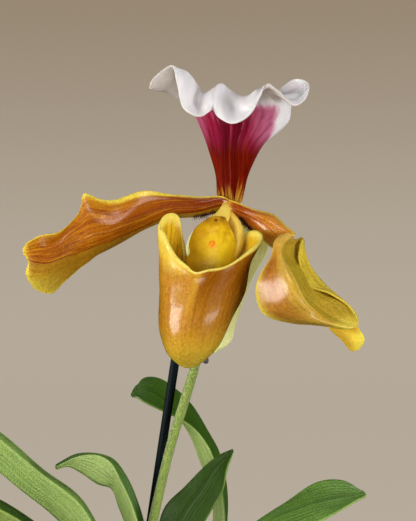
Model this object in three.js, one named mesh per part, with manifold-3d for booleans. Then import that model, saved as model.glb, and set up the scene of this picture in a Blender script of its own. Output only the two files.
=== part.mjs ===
// A slipper orchid in bloom, in a small nursery pot.
//
// Millimetres, +Z up. The origin is the centre of the pot's base. The bloom faces -Y and a
// little towards -X, and +X is to the right of someone who faces it.
//
// Sheets such as petals and leaves are lofts: smooth rows of points run across the sheet, smooth
// rails run along it through those rows, and the skin gets its thickness along its normals.

import * as THREE from "three";
import { mergeVertices } from "three/addons/utils/BufferGeometryUtils.js";
import Module from "manifold-3d";

const wasm = await Module();
wasm.setup();

// ---------- driving dimensions ----------

const FIT_GAP = 0.3; // between pieces that touch on the real plant

const POT_RIM_RADIUS = 45.5;
const POT_BASE_RADIUS = 31;
const POT_HEIGHT = 85;
const POT_RIM_DEPTH = 13;
const POT_WALL = 1.7;
const POT_FLOOR = 2.2;
const POT_SIDES = 40;
const DRAIN_HOLE_RADIUS = 3.5;
const DRAIN_RING_RADIUS = 19;
const DRAIN_HOLES = 6;

const BARK_LEVEL = 74; // top of the packed bark under its loose chips
const CHIP_COUNT = 38;
const CHIP_SIZE = [12, 7.5, 4.8];
const CHIP_REACH = 34.5; // farthest chip centre from the pot's axis
const CHIP_SEED = 7;

const MAIN_GROWTH = [-8.7, 0]; // the flowering growth, X and Y
const SECOND_GROWTH = [12.5, 30];
const CROWN_TOP = 79.7;
const CROWN_ROOT = 70;
const MAIN_CROWN_RADIUS = 11.1;
const SECOND_CROWN_RADIUS = 8.4;
const ROOT_RADIUS = 1.5;
const RHIZOME_RADIUS = 2.6;

const STEM_RADIUS = 1.65;
const STAKE_RADIUS = 1.55;
const OVARY_RADIUS = 2.3;

const HEART = [21.8, -12, 228]; // where the bloom's parts meet
const PETAL_THICKNESS = 0.8;
const POUCH_THICKNESS = 0.9;
const LEAF_THICKNESS = 0.9;

// ---------- the bloom's shape: rows of points from the root outwards, from the heart ----------

// Each row runs across the dorsal sepal from its left margin to its right one.
const DORSAL_ROWS = [
  [[-5, 3, 3.5], [-3.5, 1.5, 3.5], [-0.5, 1, 3], [2.5, 1.5, 3.5], [4, 3, 4]],
  [[-5.5, 4.5, 12], [-5, 1, 11.5], [-0.5, -0.5, 11.5], [5, 1, 12], [5.5, 5, 12]],
  [
    [-7, 6, 20.5], [-8, 1, 20.5], [-4.5, -0.5, 20.5], [-0.5, -1.5, 20.5], [3.5, -1, 20.5],
    [8.5, 1.5, 20.5], [11, 7.5, 22],
  ],
  [
    [-9, 9.5, 29], [-11.5, 3.5, 29.5], [-9, 0.5, 29.5], [-5, -0.5, 29], [-0.5, -1.5, 29], [4, -1, 29],
    [9, 0, 29], [14.5, 1.5, 29], [18.5, 5.5, 29], [18, 12, 28.5],
  ],
  [
    [-14.5, 11.5, 36], [-16.5, 4.5, 35.5], [-13.5, 1.5, 35.5], [-10, 0, 35.5], [-6, -1, 35.5],
    [-1.5, -2, 35], [3, -2.5, 35], [8, -2, 34.5], [13, -1, 34.5], [17.5, 0.5, 34.5], [20.5, 6, 34.5],
    [19.5, 13, 34.5],
  ],
  [
    [-20.5, 10.5, 42.5], [-23.5, 6, 39.5], [-22, 0, 39], [-18.5, -1, 41], [-15.5, 0, 43.5],
    [-14.5, -2.5, 43], [-12, -4.5, 40], [-10, -6, 38], [-8, -6, 38.5], [-6, -4.5, 41], [-4, -5, 41.5],
    [-1, -7, 39.5], [2, -8, 37], [5.5, -8, 37.5], [8.5, -6.5, 39.5], [11, -4.5, 38.5], [14.5, -5, 37],
    [18.5, -4, 39], [22, -1, 40.5], [23.5, 5, 39.5], [19.5, 12, 38.5],
  ],
  [
    [-23.5, 6, 47], [-28, 4.5, 42.5], [-27.5, -2, 40], [-24.5, -5, 44], [-20, -6, 47.5],
    [-18.5, -9, 41], [-17, -12, 33.5], [-13, -14, 30.5], [-9.5, -13, 30.5], [-6.5, -9, 32.5],
    [-4.5, -12, 29.5], [-0.5, -15, 27.5], [3.5, -16, 28.5], [6.5, -15, 32], [9, -12, 36.5],
    [12, -8, 41.5], [15.5, -10, 38.5], [20.5, -11.5, 34], [24.5, -7, 36.5], [25.5, -1, 42.5],
    [19.5, 7, 43],
  ],
];

// Each row runs from the petal's lower margin to its upper one.
const LEFT_PETAL_ROWS = [
  [[-3.5, 0.5, -1.5], [-4, -1, 0], [-4, -1.5, 1.5], [-4.5, -1.5, 2.5], [-4.5, -1, 3.5]],
  [[-12, 1.5, -4], [-11.5, -1, -2], [-11.5, -1.5, 0], [-11.5, -1, 2], [-11.5, 1, 3.5]],
  [[-20.5, 1, -4], [-20.5, -2, -2], [-20.5, -2, 0], [-20.5, -2.5, 2.5], [-21, -1, 4]],
  [[-29, 0, -7.5], [-29.5, -2.5, -5], [-30, -3, -2.5], [-30, -4, 2], [-30, -2, 5.5]],
  [[-38, 0, -12], [-38, -2, -10], [-38.5, -3.5, -6.5], [-39, -4, -2], [-39, -1, 2.5]],
  [[-46, 0, -16.5], [-46.5, -2, -13.5], [-47, -3.5, -8.5], [-47.5, -4, -2.5], [-49, -4, 3.5]],
  [[-51.5, 1, -20.5], [-53, -1.5, -15.5], [-54, -2.5, -11], [-54, -2, -7], [-52, 1, -2]],
  [[-57, 2, -25.5], [-59, -1, -20], [-60.5, -1, -16.5], [-60, 0.5, -12], [-58.5, 2.5, -8]],
  [[-61.5, 3.5, -29.5], [-64.5, 0.5, -24], [-66, 0.5, -18.5], [-66, 0.5, -14.5], [-65, 2, -9.5]],
  [[-66, 4, -28.5], [-68.5, 2.5, -24], [-68.5, 2, -18.5], [-70, 1.5, -15.5], [-69, 1, -11.5]],
  [[-68, 4, -26.5], [-70, 3, -22.5], [-69.5, 2.5, -18.5], [-71, 2, -15.5], [-70.5, 1, -12.5]],
];

// Each row starts at the margin that is on top at the root. The petal folds over half way, and
// that margin comes to the front and then lies below.
const RIGHT_PETAL_ROWS = [
  [[3, 0, 1], [2.5, -1, 0], [2.5, -1.5, -1.5], [2, -1, -2.5], [1.5, 0, -3.5]],
  [[8, -0.5, -1], [8, -2.5, -2.5], [7.5, -3, -4], [7, -2.5, -5.5], [6, -0.5, -7.5]],
  [[14, -2, -2.5], [13, -5, -4.5], [12, -5.5, -7], [11.5, -5, -9], [10.5, -2.5, -11]],
  [[18, -5, -6.5], [17, -7.5, -8], [16, -7, -10], [15, -5, -12.5], [15, -2, -14.5]],
  [[20.5, -8, -8], [20, -8, -9.5], [19, -6, -11], [18.5, -3, -12.5], [19, 0, -14.5]],
  [
    [20.5, -11.5, -9.5], [20.5, -10, -10], [20, -7.5, -10.5], [20, -5, -11.5], [21, -2, -11.5],
    [22, -0.5, -12], [23, 0, -12.5],
  ],
  [
    [18, -15, -9.5], [18.5, -15.5, -10], [19.5, -14, -10.5], [20.5, -7, -11.5], [22, -3, -11],
    [24, -1.5, -11], [23.5, -5, -12],
  ],
  [
    [14.5, -18, -11.5], [15.5, -20, -12], [17, -19.5, -12.5], [18.5, -9, -13.5], [21.5, -4, -13.5],
    [24.5, -3.5, -14.5], [22.5, -8, -14],
  ],
  [
    [13, -21, -17], [14.5, -23, -17], [16.5, -22, -16.5], [18.5, -11, -17.5], [21.5, -5, -17.5],
    [25, -4.5, -17.5], [22, -9.5, -17.5],
  ],
  [
    [9, -24, -23], [13.5, -28, -22.5], [18, -25.5, -21.5], [20, -16, -21.5], [23.5, -8, -21.5],
    [27.5, -6.5, -22], [23, -11.5, -22],
  ],
  [
    [7.5, -25, -29.5], [14, -31, -28.5], [21, -27.5, -27], [23.5, -18, -26], [27, -10, -25.5],
    [31, -8.5, -26.5], [26.5, -13, -26],
  ],
  [
    [10.5, -25, -36], [17, -30.5, -33.5], [25, -27, -31], [27.5, -18.5, -30], [31, -12, -29.5],
    [35.5, -10.5, -30.5], [31, -14.5, -28.5],
  ],
  [
    [19, -23, -38.5], [24.5, -26.5, -37], [30, -23, -35.5], [33, -17.5, -33.5], [36, -13.5, -32],
    [39.5, -12.5, -34], [35.5, -15, -30.5],
  ],
  [
    [28.5, -21, -39.5], [31.5, -22.5, -38.5], [34.5, -21, -37.5], [37, -17.5, -36.5], [39, -15, -35.5],
    [41.5, -14, -37.5], [39, -15.5, -33.5],
  ],
  [
    [35, -17.5, -40.5], [36.5, -18.5, -41], [38, -18, -41], [39, -17, -40.5], [40.5, -16, -40],
    [42, -15, -40.5], [41.5, -14.5, -38.5],
  ],
  [
    [34, -13, -43], [36, -15, -43.5], [38, -16, -43], [39.5, -16.5, -42.5], [41, -16, -42],
    [42.5, -15, -42], [43.5, -13, -42],
  ],
  [
    [38.5, -12.5, -47.5], [39.5, -13, -48], [40.5, -13.5, -48.5], [41.5, -14, -48.5], [42.5, -14, -48],
    [43.5, -13.5, -47], [44, -12, -45],
  ],
];

const SYNSEPAL_ROWS = [
  [[-4, 3.5, -3.5], [-0.5, 3, -3], [3, 3.5, -3.5]],
  [[-13.5, 6, -8.5], [-1.5, 5.5, -7.5], [8.5, 4.5, -9.5]],
  [[-16, 7.5, -17.5], [-2, 6, -16.5], [12.5, 4.5, -13.5]],
  [[-17, 8, -29], [-3.5, 7, -28.5], [6.5, 7, -25.5]],
  [[-15, 8.5, -39.5], [-5.5, 8, -39.5], [2.5, 7.5, -38]],
  [[-11, 8.5, -46.5], [-6, 8, -47], [-0.5, 7.5, -46]],
  [[-8, 8, -49.5], [-6.5, 8, -50], [-4.5, 8, -49]],
];

// Rings round the pouch from the toe up, each starting at the front keel and going right. The
// last ring is the rim: front notch, right lobe, claw at the back, left lobe.
const POUCH_TOE = [-15, -17, -53.2];
const POUCH_RINGS = [
  [
    [-15, -20.5, -53], [-13, -20.5, -53], [-11.5, -19, -52.5], [-10.5, -17, -52], [-11, -14, -52],
    [-13, -12, -52], [-15, -11.5, -52.5], [-16.5, -12, -52], [-18, -14, -51.5], [-19, -17, -51.5],
    [-18, -19.5, -52.5], [-16.5, -20.5, -53],
  ],
  [
    [-15, -27, -47.5], [-11, -26.5, -47.5], [-7, -23, -47], [-4.5, -17, -46], [-5.5, -11, -46.5],
    [-8.5, -7, -47], [-13, -5.5, -47.5], [-17.5, -6.5, -47], [-20.5, -9.5, -47], [-22, -14, -47],
    [-21.5, -20, -47.5], [-18.5, -25, -48],
  ],
  [
    [-14, -29.5, -38], [-9, -29, -38], [-3, -24.5, -37.5], [0, -16.5, -38], [-1, -9, -38],
    [-4.5, -3.5, -37.5], [-10, -1.5, -37.5], [-16, -2, -37.5], [-21, -4.5, -37.5], [-24, -10, -38],
    [-23.5, -17.5, -38.5], [-20, -25.5, -38],
  ],
  [
    [-13, -28.5, -27.5], [-7, -28, -27.5], [0, -23, -27.5], [5, -15, -27], [4.5, -7, -27.5],
    [0.5, -1.5, -28], [-5, 0.5, -28], [-11, 0.5, -28], [-17, -1.5, -28], [-22, -7, -27.5],
    [-24, -14.5, -26.5], [-20, -23, -27.5],
  ],
  [
    [-12.5, -27, -22], [-7.5, -27, -21], [-3, -25.5, -20.5], [2, -23, -17.5], [6, -20, -14.5],
    [9, -16.5, -12], [10, -13, -10], [9, -10.5, -8.5], [6.5, -7.5, -8], [4.5, -3.5, -9.5],
    [3, -1.5, -13.5], [2, 0, -18.5], [1, 1, -14.5], [0.5, 1.5, -7.5], [-1.5, 1, -3.5],
    [-3.5, 1.5, -7.5], [-6, 1, -15.5], [-9.5, -0.5, -21.5], [-14, -3.5, -21], [-16, -5, -17.5],
    [-16.5, -6.5, -11.5], [-17.5, -7.5, -5], [-18.5, -8, -3], [-20.5, -9, -2], [-23, -11, -3],
    [-24.5, -14, -6.5], [-22.5, -17, -9], [-21, -19.5, -13], [-18.5, -22.5, -17], [-15, -25.5, -20],
  ],
];

// The shield in front of the column, and the paler lobe behind its right side.
const SHIELD_ROWS = [
  [[-9, -5, -4.5], [-7, -6.5, -3.5], [-5.5, -7, -3.5], [-4, -6.5, -3.5], [-2.5, -5, -4]],
  [[-12, -6.5, -7.5], [-9.5, -10, -7.5], [-6.5, -11.5, -7], [-3.5, -10.5, -7], [-0.5, -6.5, -7]],
  [[-14.5, -8, -12.5], [-11, -12, -12.5], [-6.5, -13.5, -12.5], [-2.5, -12.5, -12], [1, -8, -11.5]],
  [[-14, -10, -17.5], [-10.5, -13.5, -18], [-7, -15, -18], [-3, -14, -17.5], [0, -10, -17]],
  [[-11, -12.5, -22], [-9, -14, -22.5], [-7, -14.5, -23], [-5, -14, -22.5], [-3, -12, -21.5]],
];
const SHIELD_LOBE_ROWS = [
  [[-2.5, -3, -2], [-0.5, -4, -2], [0.5, -3, -2.5]],
  [[-1, -4.5, -5], [1.5, -6, -5], [3, -4.5, -5.5]],
  [[0, -5.5, -9], [2.5, -7.5, -9], [4, -5.5, -9.5]],
  [[-0.5, -7, -13.5], [1.5, -9, -14], [3, -6.5, -14.5]],
  [[-2, -8.5, -17.5], [-0.5, -9.5, -18], [0.5, -8, -18.5]],
];
const BOSS_CENTRE = [-6.8, -13.6, -12.8];
const BOSS_RADIUS = 1.6;
const COLUMN_RADIUS = 2.4;
const COLUMN_PATH = [[-0.7, 0, 0.2], [-1, -2.4, -0.5], [-2.6, -5, -2.6], [-5.2, -7.6, -5.8]];
const TOOTH_PATH = [[-7.6, -15, -17.6], [-7.8, -16.4, -19.6], [-7.9, -16.2, -21.6]];
const TOOTH_RADIUS = 0.8;

// ---------- stem, ovary, bract, stake and clip ----------

const STEM_PATH = [
  [-8.8, 0, CROWN_TOP + FIT_GAP], [-8.5, 0, 93], [-7.5, 0, 106.5], [-5.3, 0, 120],
  [0.4, 0.4, 144.5], [5.6, 1, 161.5], [9, 1.6, 173], [12.1, 2.5, 186], [14.6, 3.5, 198],
];
const OVARY_PATH = [
  [14.7, 3.6, 198.35], [17.4, 4.6, 209.5], [19.4, 3, 219], [20.8, -1.6, 225.6],
  [21.3, -6.5, 227.8], [21.3, -10.9, 228.2],
];
const OVARY_RIB = 0.25;
// Rows across the bract, from its clasping foot to its tip.
const BRACT_ROWS = [
  [[10.9, 2.6, 192.5], [11.7, 5, 192], [14, 5.2, 192], [15.7, 3.8, 192], [15.8, 1.6, 192.5]],
  [[11.6, 4.8, 200], [13, 7.5, 200], [15.2, 8.4, 200], [17.6, 7.2, 200], [18.6, 4.2, 200]],
  [[13.2, 6.6, 209], [15, 9.4, 209], [17.2, 10.2, 209], [19.6, 9, 209], [21.2, 6.2, 209]],
  [[16.4, 8, 217], [17.6, 9.4, 217.5], [19, 9.8, 218], [20.4, 9, 217.5], [21.2, 7.4, 217]],
  [[18.8, 7.4, 222.5], [19.2, 7.7, 223], [19.6, 7.8, 223.2], [20, 7.6, 223], [20.4, 7.2, 222.5]],
];
const STAKE_TOP = [3.4, 2.1, 182.5];
const STAKE_FOOT = [-21, 18.3, 22];
const CLIP_HEIGHTS = [174.7, 177.7]; // at the stem; its other end sits higher on the stake
const CLIP_RISE = 2.4;
const CLIP_WALL = 0.85;
const CLIP_CLEARANCE = 0.35;
const TAB_CENTRE = [12.9, 1.4, 175.4];
const TAB_SIZE = [1.9, 2.6, 2.4];

// ---------- leaves ----------

// Each leaf is folded along its keel. Its foot is a half sheath round its growth, on one side, and
// its rows then give the upper or near margin, the keel and the far margin.
const LEAVES = [
  {
    name: "leaf_left_curled", growth: MAIN_GROWTH, side: -1, sheath: 3.2,
    rows: [
      [[-7.5, -4, 103.5], [-11, 0, 102], [-7, 4, 103.5]],
      [[-9.5, -5, 117], [-13, -1, 115.5], [-8, 4, 117]],
      [[-12.5, -6.5, 127], [-16.5, -2.5, 125.5], [-11, 3, 127.5]],
      [[-16, -8.5, 135], [-19, -4, 132], [-14.5, 1.5, 135.5]],
      [[-19.5, -9.5, 141], [-24, -6, 134], [-19, 0, 141.5]],
      [[-24, -10, 143.5], [-29, -7, 137.5], [-24.5, -1, 143.5]],
      [[-31, -9.5, 143], [-34, -8, 140], [-31.5, -3, 143.5]],
      [[-38.5, -9, 139.5], [-38.5, -8, 139], [-38.5, -6.5, 140]],
    ],
  },
  {
    name: "leaf_middle", growth: MAIN_GROWTH, side: 1, sheath: 4.6,
    rows: [
      [[-4, -4, 98.5], [-1.5, 2, 99], [-6, 6, 100.5]],
      [[2.5, -2, 108], [2, 5, 111], [-4.5, 8.5, 112.5]],
      [[10, 2.5, 116], [5, 10, 121], [-1.5, 12.5, 123.5]],
      [[15.5, 7.5, 124], [10.5, 14, 128.5], [5.5, 16, 130.5]],
      [[19, 10.5, 130], [15, 16, 135.5], [12.5, 18, 137.5]],
      [[20.5, 13.5, 137.5], [19.5, 17, 140], [17.5, 18, 141.5]],
      [[22.5, 17.5, 142.5], [22.5, 18, 143.5], [22, 18, 143.5]],
    ],
  },
  {
    name: "leaf_left_long", growth: MAIN_GROWTH, side: -1, sheath: 6,
    rows: [
      [[-13.5, -9, 98], [-18.5, -3, 95.5], [-13.5, 4, 97.5]],
      [[-21, -12, 112], [-28, -5, 109.5], [-21.5, 3, 112]],
      [[-30, -15, 127.5], [-38.5, -7, 122], [-30.5, 2, 128]],
      [[-43, -17, 138], [-50, -8, 132], [-43.5, 1.5, 138]],
      [[-56, -18, 149], [-63, -9, 143], [-56.5, 1, 149.5]],
      [[-69, -18, 158.5], [-74.5, -10, 152], [-69.5, 0, 158.5]],
      [[-83, -16, 164.5], [-86, -11, 159], [-84, -3, 165]],
      [[-97, -12, 163.5], [-97.5, -11, 163], [-97.5, -9, 164]],
    ],
  },
  {
    name: "leaf_right", growth: MAIN_GROWTH, side: 1, sheath: 7.4,
    rows: [
      [[-1, -9.5, 93.5], [2.5, 0, 90], [-2, 9, 92.5]],
      [[12, -13, 100.5], [14, -2, 100], [10, 8, 103.5]],
      [[24.5, -17, 108], [25, -4, 110], [20.5, 8, 111.5]],
      [[37, -20, 115.5], [35, -6, 120.5], [30.5, 7, 119]],
      [[48, -20.5, 120], [45, -8, 125], [40.5, 5, 126]],
      [[57.5, -19, 125], [56, -9, 128], [51.5, 3, 133]],
      [[64.5, -14, 128.5], [63, -9, 129], [60, -1, 134]],
      [[67.5, -10, 129.5], [67.5, -8.5, 130], [67, -7, 130.5]],
    ],
  },
  {
    name: "leaf_left_low", growth: MAIN_GROWTH, side: -1, sheath: 8.8,
    rows: [
      [[-18.5, -12, 93], [-23.5, -4, 88], [-18.5, 6, 92]],
      [[-30.5, -15, 106.5], [-35.5, -7, 100.5], [-30.5, 4, 106]],
      [[-44.5, -18, 118.5], [-50, -9, 111.5], [-45, 3, 118.5]],
      [[-57, -20, 126.5], [-62, -10, 119.5], [-58, 2, 127]],
      [[-71.5, -20, 132.5], [-75, -11, 126], [-72.5, 0, 133]],
      [[-85, -18, 135], [-87, -12, 130.5], [-86, -5, 135.5]],
      [[-98.5, -14, 134], [-98.5, -13, 133.5], [-98.5, -11, 134]],
    ],
  },
  {
    name: "leaf_front", growth: MAIN_GROWTH, side: 1, sheath: 10.2,
    rows: [
      [[-2, -14.5, 88.5], [5, -4, 84.5], [3, 8, 86.5]],
      [[6, -25, 95], [15, -13, 90.5], [18, -2, 94.5]],
      [[18, -37, 100.5], [28, -25, 96], [35, -13, 101.5]],
      [[33, -50, 99.5], [43, -38, 95], [51, -27, 100.5]],
      [[50, -60, 93], [58, -50, 89.5], [65, -40, 94]],
      [[66, -66, 84], [72, -59, 81.5], [76, -52, 85]],
      [[84, -68, 72], [85, -67, 71], [86, -65.5, 72]],
    ],
  },
  {
    name: "leaf_back_tall", growth: SECOND_GROWTH, side: -1, sheath: 3.2,
    rows: [
      [[15.5, 23.5, 100.5], [12.5, 30, 98], [16, 36, 99]],
      [[19.5, 22, 114.5], [15.5, 30, 113], [20, 37, 113]],
      [[18.5, 21, 129], [15.5, 30, 127.5], [20.5, 38, 127.5]],
      [[15.5, 21, 141.5], [12, 29, 137.5], [18, 38, 140.5]],
      [[10.5, 20, 149], [8, 28, 147.5], [13.5, 37, 149]],
      [[4, 19, 154], [3.5, 27, 154], [8, 35, 158]],
      [[-2.5, 19, 157], [-1, 26, 159], [2, 33, 164]],
      [[-8, 19, 159.5], [-6.5, 25, 163], [-4, 30, 168]],
      [[-11.5, 20, 161.5], [-11, 24, 163.5], [-9.5, 27, 168]],
      [[-13, 22.5, 161.5], [-13.5, 24, 162], [-12.5, 25, 163.5]],
    ],
  },
  {
    name: "leaf_back_right", growth: SECOND_GROWTH, side: 1, sheath: 4.6,
    rows: [
      [[23, 23, 99], [28, 33, 95], [23, 42, 100]],
      [[38, 27, 107.5], [43, 37, 103], [38, 48, 108.5]],
      [[56, 32, 110], [60, 43, 105.5], [55, 53, 110.5]],
      [[74, 38, 105.5], [77, 48, 101.5], [73, 57, 106]],
      [[89, 46, 97], [91, 53, 94], [88, 59, 97.5]],
      [[101, 56, 86], [102, 57, 85], [101, 58.5, 86]],
    ],
  },
  {
    name: "leaf_back_young", growth: SECOND_GROWTH, side: 1, sheath: 1.8,
    rows: [
      [[14.6, 28.4, 93], [16.2, 30, 92.5], [14.6, 31.6, 93]],
      [[16.4, 28.8, 102], [17.4, 30, 101.5], [16.4, 31.2, 102]],
      [[18.6, 29.7, 109.5], [18.8, 30, 109.5], [18.6, 30.3, 109.5]],
    ],
  },
  {
    name: "leaf_back_left", growth: SECOND_GROWTH, side: -1, sheath: 6,
    rows: [
      [[-1, 27, 95], [-6, 37, 91], [1, 46, 96]],
      [[-15, 32, 103], [-19, 43, 99], [-12, 53, 104]],
      [[-30, 40, 105], [-34, 50, 101], [-28, 60, 106]],
      [[-47, 48, 101], [-50, 57, 98], [-45, 66, 102]],
      [[-63, 57, 92], [-65, 63, 89.5], [-61, 69, 93]],
      [[-77, 67, 82], [-78, 68.3, 81], [-77, 69.5, 82]],
    ],
  },
];
const SHEATH_HEIGHT = 7;
const SHEATH_EDGE_GAP = 0.5; // from the plane between the left and the right leaves
const SHEATH_CAMBER = 0.2; // bulge of each half of the leaf, as a share of its width
const BLADE_CAMBER = 0.06;

// ---------- building tools ----------

const vec = ([x, y, z]) => new THREE.Vector3(x, y, z);
const smooth = (points, closed = false, kind = "catmullrom") => (
  new THREE.CatmullRomCurve3(points, closed, kind, 0.5)
);

/** Points along a smooth line through the given ones, as many between each pair. */
function sample(points, steps, closed = false, kind = "catmullrom") {
  const curve = smooth(points, closed, kind);
  const count = closed ? steps : steps + 1;
  return Array.from({ length: count }, (_, i) => curve.getPoint(i / steps));
}

/** A grid of points through rows of points: rows run across the sheet, the grid's rows along it. */
function loft(rows, across, along, closed = false) {
  const sampled = rows.map((row) => sample(row.map(vec), across, closed));
  const rails = sampled[0].map((_, j) => sample(sampled.map((row) => row[j]), along));
  return rails[0].map((_, i) => rails.map((rail) => rail[i]));
}

/** The unit normals of a grid of points. */
function gridNormals(grid, closed) {
  const last = grid.length - 1;
  const count = grid[0].length;
  const wrap = (j) => (closed ? (j + count) % count : Math.min(Math.max(j, 0), count - 1));
  return grid.map((row, i) => row.map((_, j) => {
    const across = row[wrap(j + 1)].clone().sub(row[wrap(j - 1)]);
    const along = grid[Math.min(i + 1, last)][j].clone().sub(grid[Math.max(i - 1, 0)][j]);
    return across.cross(along).normalize();
  }));
}

/** A closed mesh from loose triangles of corner points, with its faces pointing out. */
function closedMesh(triangles) {
  let volume = 0;
  for (const [a, b, c] of triangles) {
    volume += a.dot(b.clone().cross(c));
  }
  const ordered = volume < 0 ? triangles.map(([a, b, c]) => [a, c, b]) : triangles;
  const geometry = new THREE.BufferGeometry().setFromPoints(ordered.flat());
  return mergeVertices(geometry, 1e-4);
}

/** Two triangles for the patch between two neighbouring pairs of points. */
const patch = (a, b, c, d) => [[a, b, c], [a, c, d]];

/** A sheet of even thickness over a grid; the same diagonals split both of its faces. */
function sheet(grid, thickness, closed = false, toe = null) {
  const normals = gridNormals(grid, closed);
  const offset = (distance) => grid.map((row, i) => (
    row.map((point, j) => point.clone().addScaledVector(normals[i][j], distance))
  ));
  const faces = [offset(thickness / 2), offset(-thickness / 2)];
  const count = grid[0].length;
  const spans = closed ? count : count - 1;
  const last = grid.length - 1;
  const triangles = [];
  for (let j = 0; j < spans; j += 1) {
    const k = (j + 1) % count;
    for (let i = 0; i < last; i += 1) {
      const [front, back] = faces;
      triangles.push(...patch(front[i][j], front[i][k], front[i + 1][k], front[i + 1][j]));
      for (const [a, b, c] of patch(back[i][j], back[i][k], back[i + 1][k], back[i + 1][j])) {
        triangles.push([a, c, b]);
      }
    }
    const rimAt = (i, flip) => {
      const [a, b] = flip ? [k, j] : [j, k];
      return patch(faces[1][i][a], faces[1][i][b], faces[0][i][b], faces[0][i][a]);
    };
    triangles.push(...rimAt(last, true));
    if (toe === null) {
      triangles.push(...rimAt(0, false));
    } else {
      triangles.push([toe.outer, faces[toe.outerFace][0][j], faces[toe.outerFace][0][k]]);
      triangles.push([toe.inner, faces[1 - toe.outerFace][0][k], faces[1 - toe.outerFace][0][j]]);
    }
  }
  if (!closed) {
    for (let i = 0; i < last; i += 1) {
      for (const [j, flip] of [[0, true], [count - 1, false]]) {
        const [a, b] = flip ? [i + 1, i] : [i, i + 1];
        triangles.push(...patch(faces[1][a][j], faces[1][b][j], faces[0][b][j], faces[0][a][j]));
      }
    }
  }
  return closedMesh(triangles);
}

/** A tube of even radius along a smooth path. */
function tube(path, radius, sides, steps) {
  const section = new THREE.Shape();
  for (let i = 0; i < sides; i += 1) {
    const angle = (2 * Math.PI * i) / sides;
    section[i === 0 ? "moveTo" : "lineTo"](radius * Math.cos(angle), radius * Math.sin(angle));
  }
  return new THREE.ExtrudeGeometry(section, {
    steps, extrudePath: smooth(path.map(vec)), bevelEnabled: false, curveSegments: 1,
  });
}

/** A tube whose radius is a function of its length's share and of the angle round it. */
function shapedTube(path, radiusAt, sides, steps) {
  const curve = smooth(path.map(vec));
  const frames = curve.computeFrenetFrames(steps, false);
  const rings = Array.from({ length: steps + 1 }, (_, i) => {
    const centre = curve.getPointAt(i / steps);
    return Array.from({ length: sides }, (_, j) => {
      const angle = (2 * Math.PI * j) / sides;
      const radius = radiusAt(i / steps, angle);
      return centre.clone()
        .addScaledVector(frames.normals[i], radius * Math.cos(angle))
        .addScaledVector(frames.binormals[i], radius * Math.sin(angle));
    });
  });
  const triangles = [];
  const ends = [[rings[0], curve.getPointAt(0)], [rings[steps], curve.getPointAt(1)]];
  for (let j = 0; j < sides; j += 1) {
    const k = (j + 1) % sides;
    for (let i = 0; i < steps; i += 1) {
      triangles.push(...patch(rings[i][j], rings[i][k], rings[i + 1][k], rings[i + 1][j]));
    }
    triangles.push([ends[0][1], ends[0][0][k], ends[0][0][j]]);
    triangles.push([ends[1][1], ends[1][0][j], ends[1][0][k]]);
  }
  return closedMesh(triangles);
}

/** A turned solid about +Z from [radius, height] pairs that start and end on the axis. */
function turned(profile, sides) {
  const points = profile.map(([radius, height]) => new THREE.Vector2(radius, height));
  return new THREE.LatheGeometry(points, sides).rotateX(Math.PI / 2);
}

/** A solid for joining and cutting, from a closed geometry. */
function solid(geometry) {
  const bare = geometry.clone();
  bare.deleteAttribute("normal");
  bare.deleteAttribute("uv");
  const merged = mergeVertices(bare, 1e-4);
  const positions = merged.attributes.position.array;
  const corners = merged.index.array;
  const kept = [];
  let volume = 0;
  const at = (i) => new THREE.Vector3().fromArray(positions, 3 * i);
  for (let t = 0; t < corners.length; t += 3) {
    const [a, b, c] = [corners[t], corners[t + 1], corners[t + 2]];
    if (a !== b && b !== c && a !== c) {
      kept.push(a, b, c);
      volume += at(a).dot(at(b).cross(at(c)));
    }
  }
  const turnedOut = volume < 0 ? kept.reverse() : kept;
  return new wasm.Manifold(new wasm.Mesh({
    numProp: 3,
    vertProperties: Float32Array.from(positions),
    triVerts: Uint32Array.from(turnedOut),
  }));
}

/** The geometry of a solid, without the loose scraps that a cut can leave. */
function mainBody(shape) {
  const bodies = shape.decompose().sort((a, b) => b.volume() - a.volume());
  const mesh = bodies[0].getMesh();
  const geometry = new THREE.BufferGeometry();
  geometry.setAttribute("position", new THREE.BufferAttribute(mesh.vertProperties, 3));
  geometry.setIndex(new THREE.BufferAttribute(mesh.triVerts, 1));
  return geometry;
}

const join = (shapes) => shapes.reduce((whole, shape) => whole.add(shape));

/** A repeatable source of numbers from 0 to 1. */
function seededDraws(seed) {
  let state = seed;
  return () => {
    state = (state * 16807) % 2147483647;
    return state / 2147483647;
  };
}

// ---------- materials ----------

const finish = (color, roughness) => new THREE.MeshStandardMaterial({ color, roughness, metalness: 0 });
const MATERIALS = {
  dorsal: finish(0xe9e0e6, 0.6),
  petal: finish(0xc98a1e, 0.35),
  synsepal: finish(0xd6dc9a, 0.5),
  pouch: finish(0xcf9620, 0.3),
  column: finish(0xe8c42c, 0.4),
  stem: finish(0x7ea13c, 0.6),
  leaf: finish(0x3f7a24, 0.45),
  root: finish(0x8a6a46, 0.85),
  bark: finish(0x5a3b24, 0.9),
  pot: finish(0x2e2f31, 0.6),
  stake: finish(0x0f1f20, 0.4),
  clip: finish(0x3b3848, 0.45),
};

const orchid = new THREE.Group();

function place(name, geometry, material, position = [0, 0, 0]) {
  const mesh = new THREE.Mesh(geometry, MATERIALS[material]);
  mesh.name = name;
  mesh.position.set(...position);
  orchid.add(mesh);
}

// ---------- pot, bark and rootstock ----------

const rimFoot = POT_HEIGHT - POT_RIM_DEPTH;
const bodyTopRadius = POT_RIM_RADIUS - 3;
const floorRadius = POT_BASE_RADIUS - POT_WALL;
const innerTopRadius = bodyTopRadius - POT_WALL;

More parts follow.
